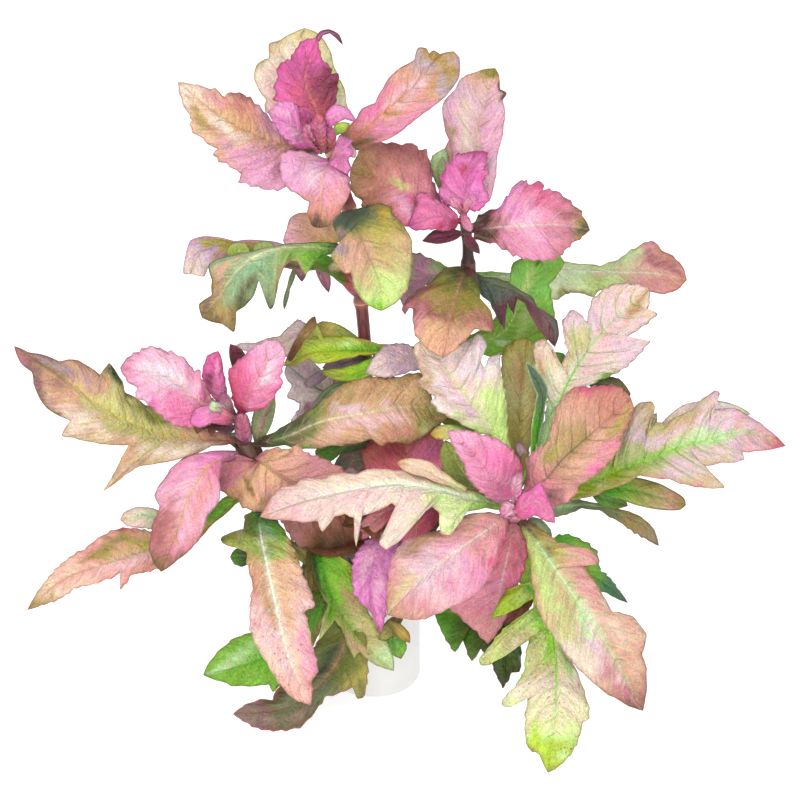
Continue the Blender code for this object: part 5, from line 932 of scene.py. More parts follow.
def leaf_finish(name, run, spots="", rib="cream .25", veins=0.22, rim="brown .55", flecks=0.0,
                under="lilacgrey .55"):
    """Satin leaf skin: the run of colours, the patches over it, then midrib and veins, rim and
    the lower side's colour. Clouds, streaks and grain multiply that, and flecks lie over it."""
    material, shader = new_finish(name, SATIN)
    tree = material.node_tree
    mark = {key: add(tree, "Attribute", attribute_name=key).outputs["Fac"]
            for key in ("along", "side", "rib", "rim", "fan", "pace", "under")}
    place = add(tree, "TexCoord").outputs["Object"]
    cloud = add(tree, "TexNoise", {"Vector": place, "Scale": CLOUD, "Detail": 3.0})
    mottle = add(tree, "TexNoise", {"Vector": place, "Scale": MOTTLE, "Detail": 3.0})
    grain = add(tree, "TexNoise", {"Vector": place, "Scale": GRAIN, "Detail": 2.0})
    net = add(tree, "TexVoronoi", {"Vector": place, "Scale": NET}, feature="DISTANCE_TO_EDGE")

    lane = add(tree, "VectorMath", {0: place, 1: STREAKS_PER_METRE}, operation="MULTIPLY").outputs[0]
    arc = add(tree, "Math", {0: cloud.outputs["Fac"], 1: VEIN_WANDER, 2: mark["fan"]},
              operation="MULTIPLY_ADD").outputs[0]
    fan = add(tree, "CombineXYZ", {0: arc, 1: mark["side"]}).outputs[0]
    fan = add(tree, "VectorMath", {0: fan, 1: STREAKS, 2: lane}, operation="MULTIPLY_ADD").outputs[0]
    streak = add(tree, "TexNoise", {"Vector": fan, "Scale": 1.0, "Detail": 4.0, "Roughness": 0.6,
                                    "Distortion": 0.4})

    spread = add(tree, "VectorMath", {0: cloud.outputs["Color"], 1: (0.5, 0.5, 0.5)},
                 operation="SUBTRACT").outputs[0]
    spread = add(tree, "VectorMath", {0: spread, 1: DRIFT}, operation="MULTIPLY").outputs[0]
    spot = add(tree, "CombineXYZ", {0: mark["along"], 1: mark["side"]}).outputs[0]
    spot = add(tree, "VectorMath", {0: spot, 1: spread}, operation="ADD").outputs[0]
    drift = add(tree, "SeparateXYZ", {0: spot}).outputs[0]
    ramp = add(tree, "ValToRGB", {"Fac": drift})
    set_stops(ramp, [(share, colour) for colour, (share,) in read_tints(run)])
    skin = ramp.outputs["Color"]
    for colour, (share, side, size) in read_tints(spots):
        gap = add(tree, "VectorMath", {0: spot, 1: (share, side, 0.0)}, operation="SUBTRACT").outputs[0]
        gap = add(tree, "VectorMath", {0: gap, 1: PATCH_SHAPE}, operation="MULTIPLY").outputs[0]
        gap = add(tree, "VectorMath", {0: gap}, operation="LENGTH").outputs["Value"]
        inside = add(tree, "MapRange", {"Value": gap, "From Min": size, "From Max": 0.0, "To Max": 0.95},
                     interpolation_type="SMOOTHSTEP").outputs[0]
        skin = add(tree, "Mix", {0: inside, 6: skin, 7: colour}, data_type="RGBA").outputs[2]

    coats = [read_tints(tint)[0] for tint in (rib, rim, under)]
    (rib_colour, (rib_share,)), (rim_colour, (rim_share,)), (under_colour, (under_share,)) = coats
    on_rib = add(tree, "MapRange", {"Value": mark["rib"], "From Min": RIB_CORE, "From Max": RIB_EDGE,
                                    "To Min": rib_share, "To Max": 0.0},
                 interpolation_type="SMOOTHSTEP").outputs[0]
    thin = add(tree, "MapRange", {"Value": mark["along"], "From Min": 0.5, "To Min": 1.0,
                                  "To Max": 0.1}).outputs[0]
    glow = add(tree, "MapRange", {"Value": mark["rib"], "From Max": RIB_GLOW, "To Min": 0.35 * rib_share,
                                  "To Max": 0.0}, interpolation_type="SMOOTHERSTEP").outputs[0]
    on_rib = add(tree, "Math", {0: on_rib, 1: glow}, operation="MAXIMUM").outputs[0]
    stalk = add(tree, "MapRange", {"Value": mark["along"], "From Min": 0.04, "From Max": 0.24}).outputs[0]
    for share in (thin, stalk):
        on_rib = add(tree, "Math", {0: on_rib, 1: share}, operation="MULTIPLY").outputs[0]
    across = add(tree, "Math", {0: mark["side"]}, operation="ABSOLUTE").outputs[0]
    beat = add(tree, "Math", {0: arc, 1: 0.5}, operation="PINGPONG").outputs[0]
    fork = add(tree, "MapRange", {"Value": across, "From Min": FORK_FROM, "To Max": FORK_WIDTH}).outputs[0]
    beat = add(tree, "Math", {0: beat, 1: fork}, operation="SUBTRACT").outputs[0]
    beat = add(tree, "Math", {0: beat}, operation="ABSOLUTE").outputs[0]
    gap = add(tree, "Math", {0: beat, 1: mark["pace"]}, operation="MULTIPLY").outputs[0]
    on_vein = add(tree, "MapRange", {"Value": gap, "From Min": VEIN_CORE, "From Max": VEIN_EDGE,
                                     "To Min": 1.2 * veins, "To Max": 0.0},
                  interpolation_type="SMOOTHSTEP").outputs[0]
    beside = add(tree, "MapRange", {"Value": gap, "From Max": VEIN_GLOW, "To Min": 0.6 * veins,
                                    "To Max": 0.0}, interpolation_type="SMOOTHERSTEP").outputs[0]
    on_vein = add(tree, "Math", {0: on_vein, 1: beside}, operation="ADD").outputs[0]
    fading = add(tree, "MapRange", {"Value": across, "From Min": 0.1, "From Max": 0.9, "To Min": 1.0,
                                    "To Max": 0.15}).outputs[0]
    patchy = add(tree, "MapRange", {"Value": mottle.outputs["Fac"], "From Min": 0.35, "From Max": 0.65,
                                    "To Min": 0.55, "To Max": 1.1}).outputs[0]
    for share in (fading, patchy):
        on_vein = add(tree, "Math", {0: on_vein, 1: share}, operation="MULTIPLY").outputs[0]
    on_net = add(tree, "MapRange", {"Value": net.outputs["Distance"], "From Min": 0.0, "From Max": 0.08,
                                    "To Min": 0.35 * veins, "To Max": 0.0}).outputs[0]
    on_line = on_rib
    for share in (on_vein, on_net):
        on_line = add(tree, "Math", {0: on_line, 1: share}, operation="MAXIMUM").outputs[0]
    on_rim = add(tree, "MapRange", {"Value": mark["rim"], "From Min": RIM_CORE, "From Max": RIM_EDGE,
                                    "To Min": rim_share, "To Max": 0.0},
                 interpolation_type="SMOOTHSTEP").outputs[0]
    on_rim = add(tree, "Math", {0: on_rim, 1: patchy}, operation="MULTIPLY").outputs[0]
    below = add(tree, "Math", {0: mark["under"], 1: under_share}, operation="MULTIPLY").outputs[0]
    for share, colour in ((on_line, rib_colour), (on_rim, rim_colour), (below, under_colour)):
        skin = add(tree, "Mix", {0: share, 6: skin, 7: colour}, data_type="RGBA").outputs[2]

    shade = add(tree, "MapRange", {"Value": mottle.outputs["Fac"], "From Min": 0.3, "From Max": 0.7,
                                   "To Min": 0.93 / BRIGHT_LIGHT, "To Max": 1.05 / BRIGHT_LIGHT}).outputs[0]
    # partly painted highlight and shade: the streaks lighten the colour up to 1.15 times on the wrinkles
    # and darken it to 0.82 in their creases, besides the tissue's own fine lines.
    lines = add(tree, "MapRange", {"Value": streak.outputs["Fac"], "From Min": 0.32, "From Max": 0.68,
                                   "To Min": 0.82, "To Max": 1.15}).outputs[0]
    cells = add(tree, "VectorMath", {0: grain.outputs["Color"], 1: GRAIN_GAIN, 2: GRAIN_BASE},
                operation="MULTIPLY_ADD").outputs[0]
    for dimming in (shade, lines, cells):
        skin = add(tree, "Mix", {0: 1.0, 6: skin, 7: dimming}, data_type="RGBA",
                   blend_type="MULTIPLY").outputs[2]
    speck = add(tree, "TexNoise", {"Vector": place, "Scale": FLECK, "Detail": 1.0})
    dark = add(tree, "MapRange", {"Value": speck.outputs["Fac"], "From Min": 0.66, "From Max": 0.72,
                                  "To Max": flecks}).outputs[0]
    skin = add(tree, "Mix", {0: dark, 6: skin, 7: hex_colour(COLOURS["brown"])},
               data_type="RGBA").outputs[2]
    tree.links.new(skin, shader.inputs["Base Color"])

    rough = add(tree, "MapRange", {"Value": mottle.outputs["Fac"], "To Min": 0.4,
                                   "To Max": 0.62}).outputs[0]
    tree.links.new(rough, shader.inputs["Roughness"])
    relief = add(tree, "Math", {0: net.outputs["Distance"], 1: mottle.outputs["Fac"]},
                 operation="ADD").outputs[0]
    for height, gain in ((streak.outputs["Fac"], 1.5), (on_vein, -1.5)):
        relief = add(tree, "Math", {0: height, 1: gain, 2: relief}, operation="MULTIPLY_ADD").outputs[0]
    bump = add(tree, "Bump", {"Height": relief, "Strength": 0.75, "Distance": 0.0009})
    tree.links.new(bump.outputs["Normal"], shader.inputs["Normal"])
    return material


# %% Grow every leaf
def grow_leaf(name, plan, skin, seed):
    """A leaf's blade with its own finish, riding on the plant. Its triangles are returned."""
    grid, marks = leaf_blade(plan, seed)
    blade = make_piece(name, grid, leaf_finish("leaf skin " + name, **skin), marks)
    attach(blade, "root")
    return blade, 2 * grid.shape[0] * grid.shape[1]


LEAF_SEED_STEP = 1.3
triangles = 0
for number, (name, plan) in enumerate(LEAVES.items()):
    leaf_name = "leaf_" + name
    blade, count = grow_leaf("blade_" + name, plan, SKINS[name], LEAF_SEED_STEP * (number + 1))
    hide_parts(leaf_name)
    triangles += count
print("leaves grown:", len(LEAVES), "with about", triangles, "triangles")

# %% [markdown]
# Between the grown leaves sit small ones: unfolding pink leaves and buds in the middle of each
# rosette, and bits of leaves further back. They are listed in the same way, with their skins,
# but with no stem. Their stalks are hidden from the camera and aren't built, so most of them
# stand free by a few millimetres, which shows from the sides and from behind. A bud has more
# and deeper folds.

# %% Small leaves and buds
SMALL_SEED_STEP = 2.1
BUD_TEETH = (5.0, 1.2)
BUD_FOLDS = dict(spacing=2.0, crumple=2.8, puff=1.8)
# Partly painted shade: e_dark_back, umber to brown, lies in the shade under the finger leaf d_finger, and
# mid_grey, deep olive to slate, lies in the shade under c_right; the colour of each is partly a leaf's own
# and partly painted shade.
SMALL_LEAVES = read_table("""
hook: tone magenta; teeth 20 0; rib plum .5; rim wine .9;
 midrib 317,40,-15 321,33,-15 330,31,-14 338,36,-13 343,45,-12; left 320,31 329,29 339,34;
 right 323,35 330,33 336,38; run hotpink 0, mauve .4, maroon 1
a_small: tone magenta; midrib 325,128,14 338,113,15 357,122,14; left 326,112 335,104 348,108;
 right 336,123 345,119; run hotpink 0, orchid .5, orchidpink 1
a_green: tone leafgreen; midrib 333,134,4 341,128,4 350,123,3; left 335,124 342,122; right 340,134 346,131;
 run green 0, limeyellow .6, limepale 1
a_bud_left: tone crimson; teeth 3.5 1.4; bud 1; midrib 322,152,15 313,140,17 305,124,16;
 left 311,148 303,136; right 322,142 315,126; run crimson 0, magenta .4, pinkbright .8, pinkpale 1
a_bud_middle: tone crimson; teeth 3.5 1.4; bud 1; midrib 324,151,16 321,136,18 318,112,14;
 left 316,142 310,124; right 327,140 326,120; run wine 0, crimson .3, magenta .6, rosebright .9, pink 1
a_bud_right: tone crimson; teeth 3.5 1.2; bud 1; midrib 325,152,15 331,141,16 330,124,14;
 left 324,142 324,130; right 336,146 336,133; run wine 0, crimson .4, hotpink .8, pink 1
b_sliver: tone green; midrib 448,203,-28 440,175,-29 445,148,-30; left 438,188 430,166 432,156;
 right 449,185 449,165; run sage 0, sagegreen .5, mintpale 1
b_under: tone teal; rib plum .2; midrib 461,233,-10 440,237,-8 422,241,-7; left 455,240 440,244 430,243;
 right 448,229 434,230; run maroon 0, wine .5, plum 1
b_point: tone teal; rib plum .2; midrib 466,234,-10 473,244,-9 480,254,-9; left 472,236 479,246;
 right 464,243 472,251; run wine 0, maroon .6, plum 1
b_fold: tone salmon; rib brick .2; midrib 426,224,-17 410,214,-15 392,209,-14;
 left 414,227 401,222 393,214; right 415,208 402,205; run umber 0, brown .5, rosebrown 1
b_bud_left: tone crimson; bud 1; midrib 463,214,-10 457,204,-9 450,197,-10; left 456,210 449,205;
 right 462,205 457,197; run salmonpink 0, pinkbright .5, pinkpale 1
b_bud_right: tone crimson; bud 1; midrib 464,214,-9 468,205,-8 469,197,-10; left 463,206 464,200;
 right 471,207 473,201; run crimsonpink 0, pinkbright .6, pinkpale 1
b_bud_front: tone pink; bud 1; midrib 463,214,-8 466,224,-4 471,232,-4; left 471,221 474,227;
 right 461,222 465,230; run hotpink 0, pinkbright .6, pinkpale 1
c_maroon: tone teal; rib plum .3; midrib 241,382,14 236,362,13 230,344,12; left 231,364 229,352;
 right 246,362 244,352 237,346; run plum 0, maroon .5, wine 1
c_pale: tone lilac; rib mauve .4; midrib 318,350,-4 300,336,-4 275,346,-4 234,347,-4;
 left 305,353 285,357 250,352; right 309,326 298,319 290,326 280,336 255,343 240,343;
 run lilacwhite 0, shell .4, lilacwhite 1
a_lobe_left: tone green; teeth 30 0; rib limepale .4; rim olivegreen .8;
 midrib 240,260,-3 239,252,-4 238,242,-5; left 228,259 226,251 230,244; right 251,260 251,250 246,243;
 run khakigreen 0, khakigreen .6, palekhaki 1
a_lobe_right: tone green; teeth 30 0; rim olivegreen .8; midrib 264,258,-5 263,250,-6 263,241,-8;
 left 253,257 252,249 256,243; right 276,257 277,248 271,242; run green 0, khakigreen .4, sagegreen 1
a_spike: tone lilac; teeth 30 0; rib plum .4; midrib 319,262,-15 323,275,-14 329,293,-13;
 left 328,268 331,281; right 315,268 320,282; run mauve 0, dustypink .4, mauve 1
a_spike_left: tone lilac; teeth 30 0; midrib 302,264,-15 300,273,-14 302,282,-13; left 308,267 306,276;
 right 293,268 297,276; run khaki 0, mauve .5, mauvebrown 1
a_thread: tone green; teeth 30 0; rim slategreen .8; midrib 299,262,-17 290,280,-16 284,310,-15;
 left 296,273 290,289 287,303; right 292,270 287,287 283,302; run olivegreen 0, sage .5, sage 1
a_curl: tone olive; rib shell .6; rim maroon .8; midrib 350,262,2 338,264,1 326,268,0;
 left 342,271 331,273; right 343,258 331,262; run pinkpale 0, khaki .4, olivegreen 1
a_drip: tone magenta; midrib 346,143,0 351,151,1 355,158,1; left 353,146 357,153; right 345,149 350,157;
 run hotpink 0, pinkpale .5, shell 1
mid_lobe: tone leafgreen; teeth 30 0; rib lime .4; rim olivegreen .6;
 midrib 382,351,-7 378,363,-3 361,371,0 340,375,2 319,371,3; left 386,362 372,376 355,381 335,380;
 right 371,358 358,364 341,368; run green 0, lime .3, limeyellow .6, khaki 1; spots leafgreen .5 -.5 .3
mid_fold: tone olive; teeth 30 0; rib umber .4; midrib 289,360,6 299,341,5 309,327,3 315,316,2;
 left 290,350 296,339 303,329 310,319; right 297,353 303,342 312,332 317,325;
 run umber 0, brown .3, olivetan .6, brown 1
mid_slot: tone lilac; teeth 30 0; rib plum .4; midrib 366,356,-7 345,363,-6 322,368,-6;
 left 352,370 335,371; right 348,352 331,358; run umber 0, mauvegrey .4, mauvegrey 1
mid_stripe: tone lilac; rib mauve .3; midrib 338,362,-12 322,374,-12 304,384,-13; left 326,378 310,388;
 right 326,368 308,378; run mauvebrown 0, mauvegrey .4, lilacgrey 1
mid_stripe_low: tone lilac; rib plum .6; teeth 9 2; midrib 330,400,-19 308,415,-19 290,441,-19;
 left 318,418 300,436; right 312,400 294,415 288,430; run lilacwhite 0, lilacwhite .4, lilacpale 1
mid_edge: tone green; teeth 30 0; rib slate .4; midrib 352,380,-3 332,389,-2 318,404,-1 306,420,0;
 left 335,392 321,407; right 329,386 314,401; run sagegreen 0, sage .5, lilacgrey 1
c_top: tone pink; rib rose .5; rim maroon .8; bud 1; midrib 244,446,24 243,430,26 239,413,25;
 left 236,438 234,425 235,416; right 252,440 251,427 247,414;
 run umber 0, plum .12, mauve .35, dustyrose .6, pink 1
c_shadow: tone olive; teeth 30 0; rib umber .2; midrib 262,462,20 250,452,19 234,444,19;
 left 250,462 238,455; right 262,448 247,442; run umber 0, maroon .5, umber 1
c_dark_leaf: tone green; midrib 262,455,15 244,447,14 225,436,13; left 246,453 232,446;
 right 248,440 234,432; run umber 0, green .5, sage 1
d_thumb: tone peach; teeth 30 0; rim orange .4; midrib 466,490,43 440,478,43 420,467,43 397,463,42;
 left 450,486 425,477 403,470; right 457,482 442,471 432,462 410,458 400,460;
 run limepale 0, peachpale .4, peachpale .8, peachtan 1
d_finger_low: tone pale; teeth 30 0; rib green .7; rim umber .7; flecks .3;
 midrib 590,484,29 640,492,27 686,505,25; left 615,477 645,479 670,489 684,498;
 right 600,493 625,501 655,509 680,510; run green 0, green .2, khakigreen .5, pinktan .8, olivetan 1;
 spots khaki .6 -.6 .3
d_lobe_low: tone leafgreen; teeth 30 0; rim olive .8; midrib 592,492,26 610,500,25 628,506,24;
 left 610,491 624,497; right 598,503 614,509; run deepgreen 0, green .4, olivegreen 1
d_shoulder: tone darkgreen; rib mintcream .5; midrib 556,492,22 552,470,20 545,445,18;
 left 541,478 541,460; right 560,478 556,458; run green 0, leafgreen .5, limepale 1
e_grey: tone teal; teeth 30 0; midrib 345,566,15 343,553,16 342,541,16; left 338,553; right 348,552;
 run slate 0, lilacgrey .6, lilacgrey 1
e_dark_back: tone crimson; teeth 12 2; rib brick .3; midrib 370,540,20 330,545,20 288,532,20;
 left 350,556 320,555 300,545; right 340,528 315,524 295,522; run umber 0, brown .4, brown .8, brown 1
e_pink_bit: tone crimson; midrib 405,505,30 385,512,31 362,533,32; left 388,522 372,535 362,540;
 right 385,505 368,514 358,527; run brickred 0, rose .4, salmonpink .8, rose 1
e_magenta_low: tone magenta; rib pink .3; midrib 440,506,34 425,530,35 400,542,35;
 left 436,520 420,540 408,546; right 425,508 411,524 399,534; run wine 0, crimsonpink .5, hotpink 1
c_stalk: tone green; rib dustypink 1; midrib 257,443,15 263,420,14 275,396,13;
 left 251,428 255,408 268,396; right 268,432 275,412; run sagegreen 0, sage .5, sagegreen 1
c_curled: tone magenta; midrib 236,420,29 215,411,31 191,417,32; left 228,425 212,423 199,428 190,424;
 right 224,408 205,405 195,409; run wine 0, crimsonpink .3, orchidpink .8, hotpink 1
c_curled_under: tone teal; rib plum .3; teeth 20 0; midrib 234,428,27 215,423,29 197,434,29;
 left 227,436 216,430 211,438 208,428 200,431; right 222,417 206,415 192,422;
 run plum 0, maroon .5, brown 1
c_bud: tone green; rim mauve .9; bud 1; midrib 227,413,28 217,407,30 208,405,30; left 219,413 210,411;
 right 222,403 212,400; run mauve 0, lilacgrey .4, mintpale .8, lilacwhite 1
c_bud_back: tone magenta; midrib 232,415,22 226,404,22 221,392,22; left 225,410 218,400;
 right 233,404 229,395; run wine 0, mauve .5, magenta 1
c_lobe: tone pale; rib mint .8; rim mauve .7; midrib 170,521,22 145,515,23 120,520,23;
 left 160,530 145,528 127,526; right 156,509 137,507 124,512; run sagegreen 0, shell .5, peachpale 1
c_low_dark: tone darkgreen; midrib 165,542,29 148,557,30 130,575,31; left 162,556 150,570;
 right 148,549 137,561; run deepgreen 0, seagreen .6, mintpale 1
mid_back: tone green; midrib 370,352,-12 342,333,-10 315,325,-9; left 350,350 325,342;
 right 354,334 335,323 322,321; run seafoam 0, khakigreen .5, yellowtan .8, khaki 1
mid_under: tone leafgreen; midrib 374,443,4 345,447,7 318,463,9; left 362,449 341,453 330,462 322,467;
 right 350,440 332,445 315,450; run bottle 0, deepgreen .4, green .8, leafgreen 1
mid_grey: tone teal; midrib 376,455,2 353,461,3 333,467,4; left 362,475 345,477; right 358,449 341,453;
 run deepolive 0, greybrown .5, slate 1
mid_bit: tone lilac; midrib 360,474,10 349,470,12 340,474,12; left 350,479; right 350,466;
 run mauve 0, lilacgrey 1
hang_strip: tone darkgreen; rib brick .4; midrib 310,548,17 315,580,22 326,614,26; left 322,565 328,592;
 right 306,565 311,595; run oliveshade 0, olive .4, deepolive 1
hang_bit: tone olive; midrib 288,542,16 301,552,17 316,568,19; left 302,545 314,556; right 292,551 306,566;
 run olivegreen 0, khaki .5, olive 1
hang_bit_low: tone olive; midrib 306,562,14 305,582,16 302,600,18; left 313,575 312,592;
 right 299,575 297,590; run deepolive 0, olive .5, olivebrown 1
hang_lobe: tone darkgreen; midrib 254,556,23 241,556,24 230,557,24; left 243,567 234,564;
 right 243,547 234,550; run bottle 0, deepgreen .5, green 1
hang_back: tone darkgreen; midrib 330,600,14 345,625,16 372,640,18; left 350,605 370,620;
 right 335,625 355,645; run deepgreen 0, olivegreen .5, olive 1
cup_green: tone leafgreen; midrib 390,626,36 397,643,39 401,659,41; left 402,631 407,648;
 right 384,637 388,652; run olivegreen 0, green .5, leafgreen 1
cup_ochre: tone olive; midrib 388,622,40 400,631,43 410,643,44; left 401,624 410,634;
 right 393,631 402,640; run olive 0, yellowochre .6, ochre 1
cup_olive: tone olive; midrib 402,616,38 390,626,40 379,640,42; left 396,631 387,640;
 right 390,618 381,628; run oliveshade 0, olive .6, khakigreen 1
d_notch: tone darkgreen; midrib 570,375,-8 562,362,-8 555,352,-8; left 560,370 553,361;
 right 570,362 563,353; run bottle 0, deepgreen .6, green 1
d_olive_top: tone darkgreen; midrib 630,396,6 608,384,6 588,384,6; left 610,394 597,392;
 right 620,379 602,376; run olivebrown 0, deepolive .5, deepgreen 1
d_pale_back: tone pale; rib mintcream .5; midrib 655,442,14 690,413,10 730,404,7 751,414,6;
 left 665,419 685,404 715,400 738,406; right 690,432 720,422 742,417;
 run mintcream 0, shell .3, lilacwhite .7, mint 1
d_pale_lobe: tone pale; midrib 634,446,20 646,428,18 657,413,17; left 638,432 648,416;
 right 650,437 657,422; run limepale 0, mintpale .6, shell 1
d_curl: tone teal; teeth 30 0; rib bottle .5; rim mintpale .7;
 midrib 534,462,24 539,425,21 543,397,18 526,362,14; left 531,440 534,412 537,394 530,378;
 right 540,435 545,408 548,388 536,368; run leafgreen 0, green .35, slategreen .6, slate 1;
 spots slate .5 .8 .4, mintgreen .4 -.9 .2
d_curl_low: tone leafgreen; teeth 30 0; rim green .6; midrib 542,460,22 550,432,19 560,405,15;
 left 540,440 549,415; right 550,441 560,418; run green 0, limepale .4, mintpale 1
d_small: tone magenta; midrib 515,514,54 535,501,56 555,523,56;
 left 520,494 531,490 541,481 546,495 553,507; right 523,520 536,515 545,521;
 run crimsonpink 0, hotpink .4, pinkbright 1
d_bud_tall: tone magenta; teeth 3 1.6; bud 1; midrib 517,508,50 515,492,52 519,470,50;
 left 511,500 510,486 514,474; right 521,500 522,486 523,476;
 run hotpink 0, pinkpale .3, hotpink .5, pinkpale .8, magenta 1
d_bud_left: tone magenta; teeth 3 1.6; bud 1; midrib 517,513,52 508,508,54 499,511,54;
 left 512,519 503,518; right 510,500 502,503; run pinkpale 0, orchidpink .3, pinkpale .6, hotpink 1
d_bud_low: tone magenta; teeth 3 1.4; bud 1; midrib 516,509,53 518,517,55 511,522,55; left 524,513 520,521;
 right 511,512 508,518; run orchidpink 0, pinkpale .5, hotpink 1
d_yellow: tone leafgreen; midrib 470,433,22 447,430,23 430,434,23; left 452,439 436,439;
 right 449,424 436,427; run green 0, limepale .4, yellowtan .8, yellowochre 1
d_lilac: tone lilac; midrib 525,462,20 521,451,19 517,441,18; left 517,453 515,446; right 528,452 523,444;
 run lilac 0, lilacpale .6, lilac 1
d_grey_bit: tone teal; midrib 528,519,34 541,526,33 552,540,33; left 541,519 551,530;
 right 534,529 545,538; run slate 0, sage .6, slate 1
d_green_bit: tone darkgreen; midrib 520,517,36 512,530,36 506,545,36; left 520,532 513,543;
 right 508,520 504,534; run bottle 0, deepgreen .5, seagreen 1
d_brown_bit: tone salmon; rib brick .3; midrib 534,590,38 518,607,38 504,624,38; left 532,605 518,621;
 right 520,595 507,610; run umber 0, brown .5, rosebrown 1
e_rose: tone crimson; midrib 443,503,33 422,521,35 402,546,37; left 440,518 426,535 411,546;
 right 427,505 411,514 401,532; run wine 0, crimson .4, rosebright .8, hotpink 1
e_bit: tone magenta; midrib 400,500,28 394,508,30 390,518,30; left 398,512; right 389,505;
 run hotpink 0, hotpink 1
e_olive: tone darkgreen; midrib 486,500,26 465,475,26 445,440,24; left 458,494 443,470 440,452;
 right 484,486 468,458 453,444; run olivebrown 0, olivegreen .4, khakigreen 1
e_olive_low: tone darkgreen; midrib 444,505,30 433,520,31 424,538,32; left 442,520 432,536;
 right 430,508 422,524; run umber 0, deepolive .6, olivebrown 1
d_bud_dark: tone crimson; bud 1; midrib 512,513,50 517,504,51 522,497,51; left 511,507 516,500;
 right 519,511 524,503; run wine 0, crimson .6, hotpink 1
c_gap: tone leafgreen; rib khaki .3; midrib 478,434,12 455,420,8 435,408,5; left 455,431 439,420;
 right 458,410 444,401; run green 0, olivegreen .5, khakigreen 1
""")
SKIN_WORDS = ("run", "spots", "rib", "veins", "rim", "flecks", "under")
for number, (name, plan) in enumerate(SMALL_LEAVES.items()):
    skin = {word: plan[word] for word in SKIN_WORDS if word in plan}
    plan.setdefault("teeth", BUD_TEETH)
    plan.update(BUD_FOLDS if "bud" in plan else {})
    blade, count = grow_leaf("small_" + name, plan, skin, SMALL_SEED_STEP * (number + 1))
    triangles += count
print("small leaves:", len(SMALL_LEAVES), "with the others about", triangles, "triangles")

# %% [markdown]
# The stems are glossy maroon canes with fine lengthwise streaks. Two of them stand in the
# shade of the leaves, and that shade is painted on them as a near-black colour. The tube's
# rings swell where a leaf leaves them, and a paler scar marks an old joint.

# %% Stems
STEM_SIDES = 24
STEM_RINGS = 260
SWELLING = 0.28
SWELLING_LENGTH = 2.2
STEM_END = 0.35
STEM_RIBS = 6
STEM_RIB_HEIGHT = 0.02
# Stems b and c stand in the leaves' shade, which is painted on them as near-black.
SHADED_STEMS = "bc"


def tube_frames(path):
    """Two directions square to a path: across it and to its front."""
    along = unit(np.gradient(path, axis=0))
    front = unit(np.cross(along, np.cross(np.array((0.0, 1.0, 0.0)), along)))
    return front, np.cross(along, front)


def stem_grid(letter):
    """Rings around the axis: the radius is constant, tapers over the last fifth, and swells
    by a bell curve of the distance to each leaf's joint."""
    path = at_shares(stem_paths[letter], np.linspace(0.0, 1.0, STEM_RINGS))
    front, aside = tube_frames(path)
    share = np.linspace(0.0, 1.0, STEM_RINGS)
    taper = np.clip((share - 1.0 + STEM_TAPER) / STEM_TAPER, 0.0, 1.0)
    radius = STEM_RADIUS + (STEM_TIP_RADIUS - STEM_RADIUS) * taper**2
    walk = np.concatenate(((0.0,), np.cumsum(np.linalg.norm(np.diff(path, axis=0), axis=1))))
    rows = seen(path)[:, 1]
    joints = np.array([walk[np.argmin(np.abs(rows - plan["row"]))]
                       for plan in LEAVES.values() if plan["stem"] == letter])
    bells = np.exp(-((walk[:, None] - joints[None]) / SWELLING_LENGTH) ** 2)
    radius = radius * (1.0 + SWELLING * np.clip(bells.sum(axis=1), 0.0, 1.0))
    radius[-1] = STEM_END * radius[-1]
    turn = 2 * math.pi * np.arange(STEM_SIDES) / STEM_SIDES
    ribs = 1.0 + STEM_RIB_HEIGHT * np.sin(STEM_RIBS * turn)[None, :]
    around = np.cos(turn)[None, :, None] * front[:, None] + np.sin(turn)[None, :, None] * aside[:, None]
    grid = path[:, None] + (radius[:, None] * ribs)[..., None] * around
    marks = {"walk": np.repeat(walk[:, None], STEM_SIDES, axis=1),
             "turn": np.cos(turn)[None, :] + 0.0 * grid[..., 0],
             "joint": np.clip(bells.sum(axis=1), 0.0, 1.0)[:, None] + 0.0 * grid[..., 0],
             "dark": (letter in SHADED_STEMS) + 0.0 * grid[..., 0]}
    return grid, marks


